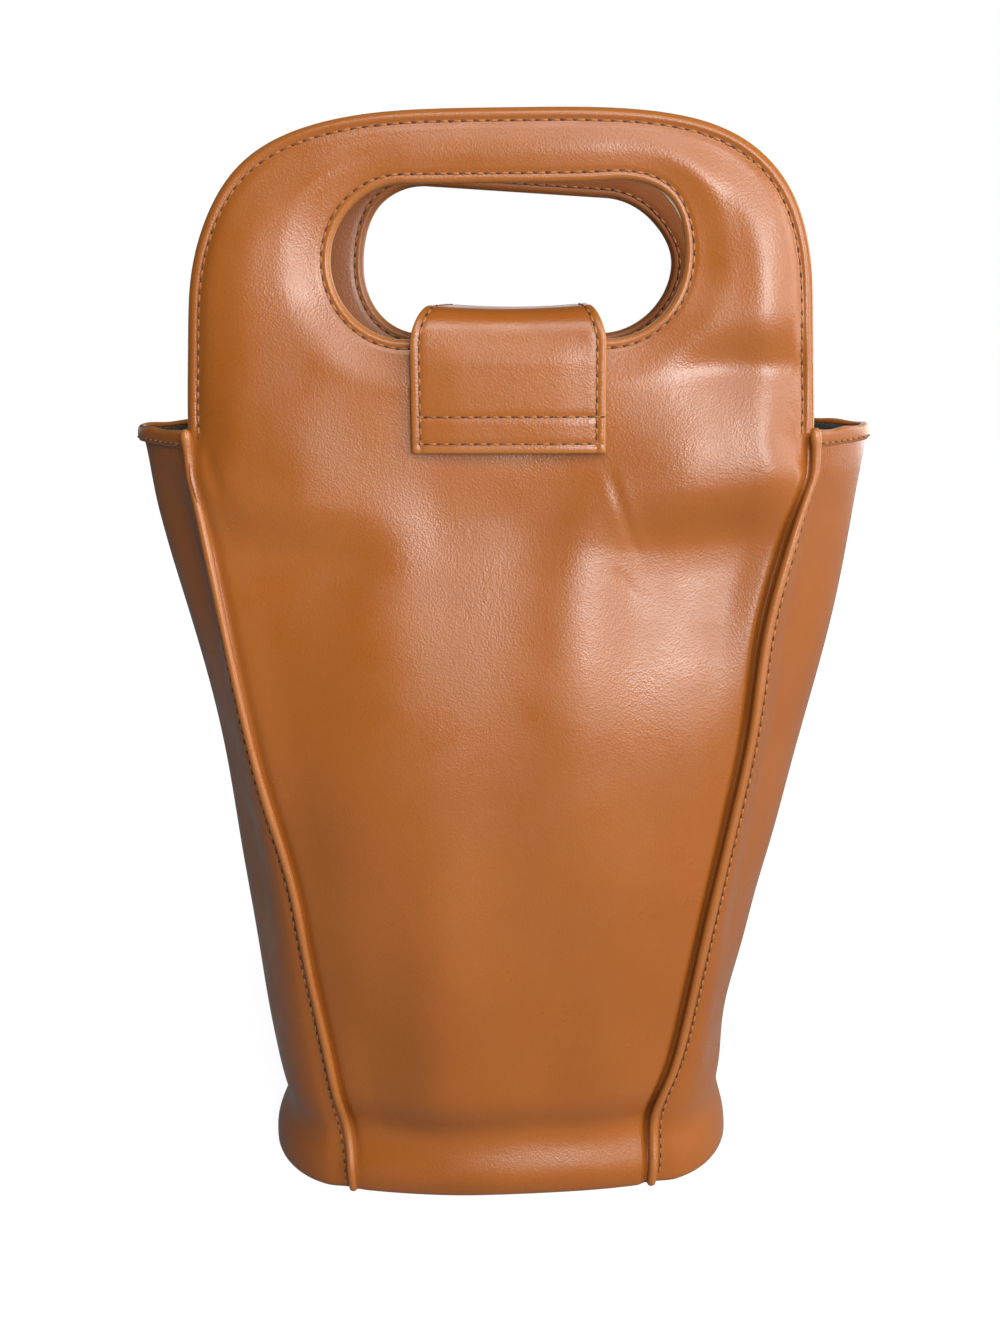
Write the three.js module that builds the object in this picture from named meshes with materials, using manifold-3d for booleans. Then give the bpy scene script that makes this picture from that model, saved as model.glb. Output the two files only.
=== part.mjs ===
// Wine bag for two bottles: a tapering leather body with folded side gussets,
// two handles with hand-holes, and a closing tab held by a magnetic snap.
// Millimetres, +Z up, front towards -Y, origin under the middle of the base.
import * as THREE from "three";
import { mergeVertices } from "three/addons/utils/BufferGeometryUtils.js";
import Module from "manifold-3d";

const wasm = await Module();
wasm.setup();
const { lerp, clamp } = THREE.MathUtils;

// Body
const mouthHeight = 293; // top of the gussets, and the line where the handles bend
const baseWidth = 186;
const sideHollow = 3; // how far the sides draw in halfway up
const bodyDepth = 87; // front panel to back panel over the lower half
const mouthDepth = 70;
const leanHeight = 143; // below the mouth, the panels close in over this height
const footPanelWidth = 116; // front panel between its seams, at the base
const handleWidth = 215; // front panel between its seams, at the mouth and above
const foldReach = 26.5; // at the mouth, from a seam out to the gusset's fold
const uprightSeam = 15; // below the mouth, the seams run upright over this height
const endFlare = 7.5; // how far the ends swell out over the base board
const faceFlare = 1.5; // the same for the front and back panels
const flareHeight = 30;
const panelBelly = 7; // how far the middle of a panel stands forward
const foldRadiusShare = 0.25; // roundness of the gusset fold at the mouth, 0 is a sharp crease

// Sheet thicknesses and fits
const leather = 1.4;
const lining = 0.8;
const boardThickness = 2.5;
const boardSlack = 6; // the base board is cut this much smaller than the floor, to drop in
const clearance = 0.3; // between pieces that lie against each other
const weltRadius = 1.6;
const weltProud = 0.5; // the welt's middle stands this far out of the wall
const hemHeight = 7;
const hemLeather = 1.1;

// Handles
const sillHeight = 32; // leather between the mouth line and the hand-hole
const holeWidth = 120;
const holeHeight = 51;
const gripHeight = 24; // leather over the hand-hole
const shoulderHeight = 85; // the outline rounds off over this height below the top
const shoulderPower = 3.4; // superellipse power of the shoulders
const handleBoard = 1.6;
const facing = 1.2;
const boardInset = 5; // the board stops inside the edge stitching

// Closing tab
const tabWidth = 67;
const strapWidth = 57; // the strap over the gap is narrower than the flap
const flapShoulder = 7; // height over which the flap rounds in to the strap
const tabShift = 4; // the tab is sewn on a little right of the middle
const tabRise = 11.5; // top of the strap above the lower edge of the hand-hole
const tabLength = 50; // top of the strap to the end of the flap
const anchorGap = 4.5; // from the mouth line up to the end sewn on behind
const strap = 2.4;
const bendRadius = 10.8;
const flapLeather = 1.2;
const flapBoard = 0.6;
const flapLining = 0.8;
const flapBoardInset = 6;

// Magnetic snap
const snapRise = 15; // snap's middle above the mouth line
const socketRadius = 9;
const socketThickness = 1.8;
const studRadius = 8;
const studThickness = 0.8;
const nippleRadius = 3;
const nippleLength = 1.1;
const washerRadius = 7;

const tan = new THREE.MeshStandardMaterial({ color: 0xb87848, roughness: 0.42, metalness: 0 });
const tanInside = new THREE.MeshStandardMaterial({ color: 0x9c6236, roughness: 0.5, metalness: 0 });
const pile = new THREE.MeshStandardMaterial({ color: 0x23261e, roughness: 0.95, metalness: 0 });
const pulp = new THREE.MeshStandardMaterial({ color: 0x8a7a63, roughness: 0.9, metalness: 0 });
const nickel = new THREE.MeshStandardMaterial({ color: 0xc9c6bf, roughness: 0.3, metalness: 1 });

// Sizes that follow from these
const holeBase = mouthHeight + sillHeight;
const totalHeight = holeBase + holeHeight + gripHeight;
const tabTop = holeBase + tabRise;
const snapHeight = mouthHeight + snapRise;
const mouthWidth = handleWidth + 2 * foldReach; // from gusset fold to gusset fold

// Where the stacked layers of a wall and of a handle start, measured inwards from the outer face
const liningDepth = leather + clearance;
const wallDepth = liningDepth + lining;
const boardDepth = leather + clearance;
const facingDepth = boardDepth + handleBoard + clearance;
const wallFoot = leather + clearance; // walls stand on the base leather
const seamMargin = weltRadius + clearance; // walls stop this far from a seam, for the welt

const bag = new THREE.Group();
bag.name = "wine_bag";

function add(name, geometry, material) {
  const mesh = new THREE.Mesh(geometry, material);
  mesh.name = name;
  bag.add(mesh);
}

// One welded skin, with no attributes that would split its vertices.
function weld(geometry) {
  geometry.deleteAttribute("normal");
  geometry.deleteAttribute("uv");
  const welded = mergeVertices(geometry, 1e-4);
  welded.computeVertexNormals();
  return welded;
}

function fromTriangles(points, index) {
  const geometry = new THREE.BufferGeometry();
  geometry.setAttribute("position", new THREE.Float32BufferAttribute(points, 3));
  geometry.setIndex(index);
  geometry.computeVertexNormals();
  return geometry;
}

// The same piece on the other side: everything here is symmetrical about the middle.
const turned = (geometry) => geometry.clone().rotateZ(Math.PI);

// Plan outline of the body at a height

const flare = (z) => Math.max(0, 1 - z / flareHeight) ** 2;

function foldHalfWidth(z) {
  const straight = lerp(baseWidth / 2 - endFlare, mouthWidth / 2, z / mouthHeight);
  return straight + endFlare * flare(z) - sideHollow * Math.sin((Math.PI * z) / mouthHeight);
}

function seamHalfWidth(z) {
  return lerp(footPanelWidth, handleWidth, clamp(z / (mouthHeight - uprightSeam), 0, 1)) / 2;
}

function halfDepth(z) {
  const lean = clamp(1 - (mouthHeight - z) / leanHeight, 0, 1);
  return lerp(bodyDepth, mouthDepth, lean ** 2) / 2 + faceFlare * flare(z);
}

// Front panel, t from 0 at the left seam to 1 at the right seam.
function panelPlan(t, z) {
  const across = 2 * t - 1;
  const belly = panelBelly * (1 - across ** 2) * Math.sin((Math.PI * z) / mouthHeight);
  return new THREE.Vector2(across * seamHalfWidth(z), -halfDepth(z) - belly);
}

// Right gusset, t from 0 at the front seam to 1 at the back seam.
// It is a half ellipse over the base and turns into a rounded fold at the mouth.
function gussetPlan(t, z) {
  const angle = (t - 0.5) * Math.PI;
  const side = Math.sin(angle);
  const foldTop = Math.hypot(1, foldRadiusShare);
  const fold = (foldTop - Math.hypot(side, foldRadiusShare)) / (foldTop - foldRadiusShare);
  const reach = lerp(Math.cos(angle), fold, z / mouthHeight);
  const seam = seamHalfWidth(z);
  return new THREE.Vector2(seam + (foldHalfWidth(z) - seam) * reach, halfDepth(z) * side);
}

const rows = 16;
const rowHeight = (row, top) => lerp(wallFoot, top, (row / rows) ** 1.5);

// Evenly spaced stations along a plan outline, kept clear of both seams by a margin.
function stations(plan, z, margin, steps) {
  const samples = 32;
  const outline = Array.from({ length: samples + 1 }, (_, i) => plan(i / samples, z));
  const curve = new THREE.SplineCurve(outline);
  const length = curve.getLength();
  return Array.from({ length: steps + 1 }, (_, i) => {
    const along = (margin + ((length - 2 * margin) * i) / steps) / length;
    const tangent = curve.getTangentAt(along);
    return { point: curve.getPointAt(along), inward: new THREE.Vector2(-tangent.y, tangent.x) };
  });
}

// A sheet that follows a plan outline from the base to a top height, between two depths
// below the outer face. Rows crowd towards the foot, where it flares.
function wallSheet(plan, outerDepth, innerDepth, top, steps) {
  const points = [];
  for (const depth of [outerDepth, innerDepth]) {
    for (let row = 0; row <= rows; row += 1) {
      const z = rowHeight(row, top);
      for (const { point, inward } of stations(plan, z, seamMargin, steps)) {
        points.push(point.x + inward.x * depth, point.y + inward.y * depth, z);
      }
    }
  }
  const columns = steps + 1;
  const innerStart = columns * (rows + 1);
  const index = [];
  const quad = (a, b, c, d) => index.push(a, b, c, a, c, d);
  for (let row = 0; row < rows; row += 1) {
    for (let column = 0; column < steps; column += 1) {
      const a = row * columns + column;
      quad(a, a + 1, a + 1 + columns, a + columns);
      quad(innerStart + a, innerStart + a + columns, innerStart + a + 1 + columns, innerStart + a + 1);
    }
    const left = row * columns;
    const right = left + steps;
    quad(left, left + columns, innerStart + left + columns, innerStart + left);
    quad(right, innerStart + right, innerStart + right + columns, right + columns);
  }
  for (let column = 0; column < steps; column += 1) {
    quad(column, innerStart + column, innerStart + column + 1, column + 1);
    const a = rows * columns + column;
    quad(a, a + 1, innerStart + a + 1, innerStart + a);
  }
  return fromTriangles(points, index);
}

// A solid swept through rings of equal count; profile gives the triangles of its two ends.
function sweep(rings, profile) {
  const count = profile.length;
  const points = rings.flatMap((ring) => ring.flatMap((p) => [p.x, p.y, p.z]));
  const index = [];
  for (let ring = 0; ring < rings.length - 1; ring += 1) {
    for (let i = 0; i < count; i += 1) {
      const a = ring * count + i;
      const b = ring * count + ((i + 1) % count);
      index.push(a, b, b + count, a, b + count, a + count);
    }
  }
  const last = (rings.length - 1) * count;
  for (const [a, b, c] of THREE.ShapeUtils.triangulateShape(profile, [])) {
    index.push(c, b, a, last + a, last + b, last + c);
  }
  return fromTriangles(points, index);
}

// Base

// A plate with the body's outline at the height where it is narrowest for the plate.
function basePlate(inset, thickness, bottom, narrowest) {
  const seam = seamHalfWidth(narrowest);
  const end = foldHalfWidth(narrowest) - seam - inset;
  const half = halfDepth(narrowest) - inset;
  const shape = new THREE.Shape();
  shape.moveTo(-seam, -half);
  shape.lineTo(seam, -half);
  shape.absellipse(seam, 0, end, half, -Math.PI / 2, Math.PI / 2, false);
  shape.lineTo(-seam, half);
  shape.absellipse(-seam, 0, end, half, Math.PI / 2, 1.5 * Math.PI, false);
  const plate = new THREE.ExtrudeGeometry(shape, {
    depth: thickness,
    bevelEnabled: false,
    curveSegments: 20,
  });
  return weld(plate.translate(0, 0, bottom));
}

const floorGap = wallDepth + 3 * clearance;
const boardTop = wallFoot + boardThickness;
const floorFoot = boardTop + clearance;
const floorTop = floorFoot + lining;
add("base_leather", basePlate(clearance, leather, 0, 0), tan);
add("base_board", basePlate(wallDepth + boardSlack, boardThickness, wallFoot, boardTop), pulp);
add("base_lining", basePlate(floorGap, lining, floorFoot, floorTop), pile);

// Walls and their lining

const gussetTop = mouthHeight - hemLeather - 2 * clearance;
const panelTop = mouthHeight - clearance / 2;

const panel = wallSheet(panelPlan, 0, leather, panelTop, 8);
add("front_panel", panel, tan);
add("back_panel", turned(panel), tan);

const gusset = wallSheet(gussetPlan, 0, leather, gussetTop, 16);
add("right_gusset", gusset, tan);
add("left_gusset", turned(gusset), tan);

const panelLining = wallSheet(panelPlan, liningDepth, wallDepth, panelTop, 8);
add("front_lining", panelLining, pile);
add("back_lining", turned(panelLining), pile);

const gussetLining = wallSheet(gussetPlan, liningDepth, wallDepth, gussetTop, 16);
add("right_lining", gussetLining, pile);
add("left_lining", turned(gussetLining), pile);

// Welts in the four seams

function seamWelt(side) {
  const sides = 8;
  const profile = Array.from({ length: sides }, (_, i) => {
    const angle = (2 * Math.PI * i) / sides;
    return new THREE.Vector2(weltRadius * Math.cos(angle), weltRadius * Math.sin(angle));
  });
  const rings = Array.from({ length: rows + 1 }, (_, row) => {
    const z = rowHeight(row, mouthHeight - 2 * clearance);
    const x = side * seamHalfWidth(z);
    const y = -halfDepth(z) - weltProud;
    return profile.map((p) => new THREE.Vector3(x + p.x, y + p.y, z));
  });
  return sweep(rings, profile);
}

const frontRightWelt = seamWelt(1);
const frontLeftWelt = seamWelt(-1);
add("front_right_welt", frontRightWelt, tan);
add("front_left_welt", frontLeftWelt, tan);
add("back_left_welt", turned(frontRightWelt), tan);
add("back_right_welt", turned(frontLeftWelt), tan);

// Hems folded over the top edge of each gusset and its lining

function gussetHem() {
  const gap = 2 * clearance;
  const outside = -gap - hemLeather;
  const inside = wallDepth + gap + hemLeather;
  const top = mouthHeight - clearance;
  const foot = top - hemHeight;
  const under = top - hemLeather;
  const profile = [
    [outside, foot], [-gap, foot], [-gap, under], [wallDepth + gap, under],
    [wallDepth + gap, foot], [inside, foot], [inside, top], [outside, top],
  ].map(([depth, z]) => new THREE.Vector2(depth, z));
  const hemMargin = seamMargin + weltRadius;
  const steps = 16;
  const runs = profile.map((p) => stations(gussetPlan, p.y, hemMargin, steps));
  const rings = Array.from({ length: steps + 1 }, (_, i) =>
    profile.map((p, corner) => {
      const { point, inward } = runs[corner][i];
      return new THREE.Vector3(point.x + inward.x * p.x, point.y + inward.y * p.x, p.y);
    }),
  );
  return sweep(rings, profile);
}

const hem = gussetHem();
add("right_hem", hem, tan);
add("left_hem", turned(hem), tan);

// Handles: leather outside, a board, and a leather facing inside

function handleShape(inset) {
  const halfWidth = handleWidth / 2 - inset;
  const shoulderFoot = totalHeight - shoulderHeight;
  const rise = shoulderHeight - inset;
  const foot = mouthHeight + clearance / 2;
  const steps = 16;
  const shape = new THREE.Shape();
  shape.moveTo(-halfWidth, foot);
  shape.lineTo(halfWidth, foot);
  for (let i = 0; i <= 2 * steps; i += 1) {
    const angle = (i / steps) * (Math.PI / 2);
    const across = Math.abs(Math.cos(angle)) ** (2 / shoulderPower);
    const up = Math.abs(Math.sin(angle)) ** (2 / shoulderPower);
    const side = i < steps ? 1 : -1;
    shape.lineTo(side * halfWidth * across, shoulderFoot + rise * up);
  }
  shape.closePath();
  const radius = holeHeight / 2 + inset;
  const middle = holeBase + holeHeight / 2;
  const reach = (holeWidth - holeHeight) / 2;
  const hole = new THREE.Path();
  hole.moveTo(-reach, middle - radius);
  hole.lineTo(reach, middle - radius);
  hole.absarc(reach, middle, radius, -Math.PI / 2, Math.PI / 2, false);
  hole.lineTo(-reach, middle + radius);
  hole.absarc(-reach, middle, radius, Math.PI / 2, 1.5 * Math.PI, false);
  shape.holes.push(hole);
  return shape;
}

// Front layer of a flat shape drawn in X and Z, its outer face a given depth behind the handle's face.
function handleLayer(shape, depth, thickness) {
  const layer = new THREE.ExtrudeGeometry(shape, {
    depth: thickness,
    bevelEnabled: false,
    curveSegments: 10,
  });
  return weld(layer.rotateX(Math.PI / 2).translate(0, depth + thickness - mouthDepth / 2, 0));
}

const handleLeather = handleLayer(handleShape(0), 0, leather);
const handleFacing = handleLayer(handleShape(clearance), facingDepth, facing);
const plainBoard = handleLayer(handleShape(boardInset), boardDepth, handleBoard);
const drilledShape = handleShape(boardInset);
const washerSeat = new THREE.Path();
washerSeat.absarc(tabShift, snapHeight, washerRadius + clearance, 0, 2 * Math.PI);
drilledShape.holes.push(washerSeat);

add("front_handle", handleLeather, tan);
add("front_handle_facing", handleFacing, tanInside);
add("front_handle_board", handleLayer(drilledShape, boardDepth, handleBoard), pulp);
add("back_handle", turned(handleLeather), tan);
add("back_handle_facing", turned(handleFacing), tanInside);
add("back_handle_board", turned(plainBoard), pulp);

// Magnetic snap, built along the outward direction and seated at a distance in front of the middle

function fromManifold(solid) {
  const { vertProperties, triVerts, numProp } = solid.getMesh();
  const points = [];
  for (let i = 0; i < vertProperties.length; i += numProp) {
    points.push(vertProperties[i], vertProperties[i + 1], vertProperties[i + 2]);
  }
  return fromTriangles(points, Array.from(triVerts));
}

const disc = (radius, thickness) => wasm.Manifold.cylinder(thickness, radius, radius, 40);

function seatSnap(solid, distance) {
  return fromManifold(solid).rotateX(Math.PI / 2).translate(tabShift, -distance, snapHeight);
}

const handleFace = mouthDepth / 2;
const socketSeat = handleFace + clearance;
const studSeat = socketSeat + socketThickness + clearance;
const pocket = disc(nippleRadius + 2 * clearance, nippleLength + 2 * clearance);
const socket = disc(socketRadius, socketThickness).subtract(
  pocket.translate([0, 0, socketThickness - nippleLength]),
);
const nipple = disc(nippleRadius, nippleLength + studThickness / 2);
const stud = disc(studRadius, studThickness).add(nipple.translate([0, 0, -nippleLength]));
const washer = disc(washerRadius, handleBoard - clearance);
const flapWasher = disc(washerRadius, flapBoard);

const flapBack = studSeat + studThickness + clearance; // inside face of the flap
const flapBoardSeat = flapBack + flapLining + clearance;
const flapFace = flapBoardSeat + flapBoard + clearance + flapLeather;
add("snap_socket", seatSnap(socket, socketSeat), nickel);
add("snap_socket_washer", seatSnap(washer, handleFace - boardDepth - handleBoard), nickel);
add("snap_stud", seatSnap(stud, studSeat), nickel);
add("snap_stud_washer", seatSnap(flapWasher, flapBoardSeat), nickel);

// Closing tab: sewn end behind, strap across the gap, flap in front

const bendHeight = tabTop - bendRadius;
const anchorFace = handleFace + clearance + strap;
const backReach = anchorFace - bendRadius; // middle of the bend behind
const frontReach = flapFace - bendRadius; // middle of the bend in front

// Side outline, in Y and Z, of a strap that comes off a flat run, turns down and hangs.
function bentStrap(reach, outer, inner, end) {
  const shape = new THREE.Shape();
  shape.moveTo(reach, bendHeight + inner);
  shape.absarc(reach, bendHeight, inner, Math.PI / 2, 0, true);
  shape.lineTo(reach + inner, end);
  shape.lineTo(reach + outer, end);
  shape.lineTo(reach + outer, bendHeight);
  shape.absarc(reach, bendHeight, outer, 0, Math.PI / 2, false);
  shape.closePath();
  return shape;
}

// Extrudes a side outline drawn in Y and Z across the bag.
function acrossTab(shape, width) {
  const solid = new THREE.ExtrudeGeometry(shape, {
    depth: width,
    bevelEnabled: false,
    curveSegments: 10,
  });
  const axes = new THREE.Matrix4().makeBasis(
    new THREE.Vector3(0, 1, 0), new THREE.Vector3(0, 0, 1), new THREE.Vector3(1, 0, 0),
  );
  return weld(solid.translate(0, 0, -width / 2).applyMatrix4(axes));
}

const anchor = bentStrap(backReach, bendRadius, bendRadius - strap, mouthHeight + anchorGap);
add("tab_anchor", acrossTab(anchor, strapWidth).translate(tabShift, 0, 0), tan);

const bridgeLength = frontReach + backReach - 2 * clearance;
const bridge = new THREE.BoxGeometry(strapWidth, bridgeLength, strap);
bridge.translate(tabShift, (backReach - frontReach) / 2, tabTop - strap / 2);
add("tab_bridge", weld(bridge), tan);

const flapEnd = tabTop - tabLength;
const liningOuter = bendRadius - (flapFace - flapBack) + flapLining;
const flapOutside = bentStrap(frontReach, bendRadius, bendRadius - flapLeather, flapEnd);
const flapInside = bentStrap(frontReach, liningOuter, liningOuter - flapLining, flapEnd);

// The flap seen from the front, as a block that cuts the shoulders of its layers round.
function flapOutline() {
  const shape = new THREE.Shape();
  const half = strapWidth / 2;
  const shoulder = (tabWidth - strapWidth) / 2;
  const shoulderFoot = tabTop - flapShoulder;
  shape.moveTo(-tabWidth / 2, flapEnd);
  shape.lineTo(tabWidth / 2, flapEnd);
  shape.absellipse(half, shoulderFoot, shoulder, flapShoulder, 0, Math.PI / 2, false);
  shape.absellipse(-half, shoulderFoot, shoulder, flapShoulder, Math.PI / 2, Math.PI, false);
  const outline = shape.getPoints(8).map((p) => [p.x, p.y]);
  return new wasm.CrossSection([outline]).extrude(bodyDepth).rotate([90, 0, 0]);
}

function flapLayer(shape) {
  const layer = turned(acrossTab(shape, tabWidth));
  const mesh = new wasm.Mesh({
    numProp: 3,
    vertProperties: layer.attributes.position.array,
    triVerts: Uint32Array.from(layer.index.array),
  });
  return fromManifold(new wasm.Manifold(mesh).intersect(flapOutline())).translate(tabShift, 0, 0);
}

add("tab_flap", flapLayer(flapOutside), tan);
add("tab_flap_lining", flapLayer(flapInside), tanInside);

const boardHalf = tabWidth / 2 - flapBoardInset;
const flapBoardShape = new THREE.Shape();
flapBoardShape.moveTo(tabShift - boardHalf, flapEnd + flapBoardInset);
flapBoardShape.lineTo(tabShift + boardHalf, flapEnd + flapBoardInset);
flapBoardShape.lineTo(tabShift + boardHalf, bendHeight);
flapBoardShape.lineTo(tabShift - boardHalf, bendHeight);
flapBoardShape.closePath();
flapBoardShape.holes.push(washerSeat);
const flapBoardDepth = handleFace - flapBoardSeat - flapBoard;
add("tab_flap_board", handleLayer(flapBoardShape, flapBoardDepth, flapBoard), pulp);

export default bag;
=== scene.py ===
# %% [markdown]
# # A leather wine bag for two bottles
#
# The bag is a tapered tube of tan leather. A front and a back hide run from the base up into a handle with
# a hand-hole, two gussets close the sides, and a short strap reaches over the gap between the handles and
# holds them together with a flap.
#
# The measured model gives the sizes, the bodies and the joints. This script sews the soft skins over it:
# each leather or cloth piece is a surface worked out from its cutting pattern, laid in place point by
# point and given its thickness, and the pieces of the body are tied to it. The boards and the magnetic
# snap stay as they were measured and only get their finish here.

# %% Load the measured model
import math
from collections import namedtuple

import bpy
import numpy as np
from mathutils import Matrix, Vector


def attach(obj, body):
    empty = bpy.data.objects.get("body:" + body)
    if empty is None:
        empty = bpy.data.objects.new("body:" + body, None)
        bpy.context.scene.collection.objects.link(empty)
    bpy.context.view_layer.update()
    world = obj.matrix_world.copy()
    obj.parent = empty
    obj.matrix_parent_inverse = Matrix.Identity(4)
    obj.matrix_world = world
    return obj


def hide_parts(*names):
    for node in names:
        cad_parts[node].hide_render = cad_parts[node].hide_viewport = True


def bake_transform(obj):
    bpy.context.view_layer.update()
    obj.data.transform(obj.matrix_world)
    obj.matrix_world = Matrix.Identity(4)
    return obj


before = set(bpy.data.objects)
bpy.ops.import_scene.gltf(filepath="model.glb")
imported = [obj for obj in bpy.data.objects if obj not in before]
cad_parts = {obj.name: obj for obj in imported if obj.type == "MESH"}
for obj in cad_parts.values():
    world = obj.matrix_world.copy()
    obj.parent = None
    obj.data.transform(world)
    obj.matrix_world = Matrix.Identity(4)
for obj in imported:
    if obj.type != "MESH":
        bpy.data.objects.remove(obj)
scene = bpy.context.scene
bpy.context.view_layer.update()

# %% [markdown]
# ## The camera
#
# The picture was taken by hand from just above the mouth of the bag, a little over half a metre away, with
# the camera tipped down by about fourteen degrees. The lens is given as a focal length on a 36 mm sensor,
# so the same picture comes out at any image size. A camera looks along its own -Z, so the columns of its
# turn are its right, its up and the opposite of the way it looks.

# %% Camera
CAMERA_PLACE = (0.0270, -0.5516, 0.3411)
FOCAL_LENGTH, SENSOR_WIDTH = 39.83, 36.0
yaw, pitch, roll = (math.radians(angle) for angle in (2.96, 14.30, -0.385))
look = Vector((-math.sin(yaw) * math.cos(pitch), math.cos(yaw) * math.cos(pitch), -math.sin(pitch)))
level_right = Vector((math.cos(yaw), math.sin(yaw), 0.0))
level_up = level_right.cross(look)
right = level_right * math.cos(roll) + level_up * math.sin(roll)
up = level_up * math.cos(roll) - level_right * math.sin(roll)

camera_data = bpy.data.cameras.new("camera")
camera_data.sensor_width = SENSOR_WIDTH
camera_data.lens = FOCAL_LENGTH
camera_data.clip_start = 0.01
camera = bpy.data.objects.new("camera", camera_data)
camera_turn = Matrix((right, up, -look)).transposed().to_4x4()
camera.matrix_world = Matrix.Translation(CAMERA_PLACE) @ camera_turn
scene.collection.objects.link(camera)
scene.camera = camera
print("camera looks along", [round(c, 3) for c in look])

# %% [markdown]
# ## Node trees
#
# Materials, the world and the stitches are all made of nodes: small boxes that hand values to one another.
# Each node here is added by one call that names its kind, feeds its inputs and makes its settings. An
# input is fed with a plain value or with another node's output, which draws a link.

# %% Node trees
class Tree:
    """A node tree, emptied, with one call for adding a node."""

    def __init__(self, tree):
        self.tree = tree
        tree.nodes.clear()

    def add(self, kind, feeds=None, **settings):
        node = self.tree.nodes.new(kind)
        for name, value in settings.items():
            setattr(node, name, value)
        for socket, value in (feeds or {}).items():
            if isinstance(value, bpy.types.NodeSocket):
                self.tree.links.new(value, node.inputs[socket])
            else:
                node.inputs[socket].default_value = value
        return node


def node_tree(owner):
    """The tree of a material or a world."""
    owner.use_nodes = True
    return Tree(owner.node_tree)


def mapped(tree, value, start, end, low, high):
    """A value moved from the range start to end into the range low to high."""
    feeds = {"Value": value, "From Min": start, "From Max": end, "To Min": low, "To Max": high}
    return tree.add("ShaderNodeMapRange", feeds).outputs["Result"]


print("node tools ready")

# %% [markdown]
# ## Floor and light
#
# A pale floor runs out of the picture on every side, and the world behind it is white. The floor is a
# grey paint that takes the shadow of the bag, with a glow added for the camera that keeps it pale. The
# glow is weaker near the bag, so the floor round its foot is painted a little darker, a painted shade on
# top of the real shadow. Only a small share of the glow shows in reflections, because a white floor would
# bleach the lower leather, and none of it throws light on the bag.
#
# Leather shows its surface by soft highlights, so the lights are square panels. The main one stands in
# front on the right and a key light further round, as the bright right side of the bag tells. A low panel
# and one behind pick out the right gusset and the base. An upper panel lights the handle tops, and a small
# one, like a window, sets the highlight beside the tab. A broad panel lights the back, and a weak cool one
# behind on the left gives the dark gusset its bluish sheen.

# %% Floor, world and lights
WHITE = (1.0, 1.0, 1.0, 1.0)
FLOOR_PAINT = (0.28, 0.28, 0.28, 1.0)
FLOOR_HALF = 6
SHADED_GLOW_AT_BAG, GLOW_FAR = 0.86, 1.0
GLOW_START, GLOW_END = 0.1, 0.8
GLOW_IN_SHEEN = 0.08
AMBIENT, AMBIENT_COLOUR = 0.03, (0.93, 0.96, 1.0, 1.0)
scene.view_settings.view_transform = "Standard"


def pale_floor():
    """Paint for light and shadow, and a glow for the camera and, faintly, for reflections; the glow is weaker
    near the bag, a painted shade round its foot.
    """
    finish = bpy.data.materials.new("pale_floor")
    tree = node_tree(finish)
    place = tree.add("ShaderNodeTexCoord").outputs["Object"]
    away = tree.add("ShaderNodeVectorMath", {0: place}, operation="LENGTH").outputs["Value"]
    # The glow fades towards the bag: painted shade on the floor round its foot.
    strength = mapped(tree, away, GLOW_START, GLOW_END, SHADED_GLOW_AT_BAG, GLOW_FAR)
    glow = tree.add("ShaderNodeEmission", {"Color": WHITE, "Strength": strength}).outputs["Emission"]
    paint = tree.add("ShaderNodeBsdfDiffuse", {"Color": FLOOR_PAINT}).outputs["BSDF"]
    both = tree.add("ShaderNodeAddShader", {0: paint, 1: glow}).outputs["Shader"]
    ray = tree.add("ShaderNodeLightPath").outputs
    sheen = tree.add("ShaderNodeMath", {0: ray["Is Glossy Ray"], 1: GLOW_IN_SHEEN}, operation="MULTIPLY")
    shown = tree.add(
        "ShaderNodeMath", {0: ray["Is Camera Ray"], 1: sheen.outputs["Value"]}, operation="MAXIMUM"
    )
    mix = tree.add("ShaderNodeMixShader", {"Fac": shown.outputs["Value"], 1: paint, 2: both})
    tree.add("ShaderNodeOutputMaterial", {"Surface": mix.outputs["Shader"]})
    return finish


def white_studio():
    """A world that is white to the camera and gives only a little light."""
    world = bpy.data.worlds.new("studio")
    tree = node_tree(world)
    seen = tree.add("ShaderNodeBackground", {"Color": WHITE}).outputs["Background"]
    ambient = tree.add("ShaderNodeBackground", {"Color": AMBIENT_COLOUR, "Strength": AMBIENT})
    ray = tree.add("ShaderNodeLightPath").outputs
    mix = tree.add(
        "ShaderNodeMixShader", {"Fac": ray["Is Camera Ray"], 1: ambient.outputs["Background"], 2: seen}
    )
    tree.add("ShaderNodeOutputWorld", {"Surface": mix.outputs["Shader"]})
    return world


def light_panel(name, place, aim, size, power, colour):
    """A square panel of soft light at place, facing aim."""
    data = bpy.data.lights.new(name, "AREA")
    data.size = size
    data.energy = power
    data.color = colour
    panel = bpy.data.objects.new(name, data)
    turn = (Vector(aim) - Vector(place)).to_track_quat("-Z", "Y").to_matrix().to_4x4()
    panel.matrix_world = Matrix.Translation(place) @ turn
    scene.collection.objects.link(panel)
    return panel


floor_mesh = bpy.data.meshes.new("floor")
floor_corners = [(x * FLOOR_HALF, y * FLOOR_HALF, 0) for x, y in ((-1, -1), (1, -1), (1, 1), (-1, 1))]
floor_mesh.from_pydata(floor_corners, [], [(0, 1, 2, 3)])
floor_mesh.materials.append(pale_floor())
floor = bpy.data.objects.new("floor", floor_mesh)
scene.collection.objects.link(floor)
scene.world = white_studio()

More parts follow.
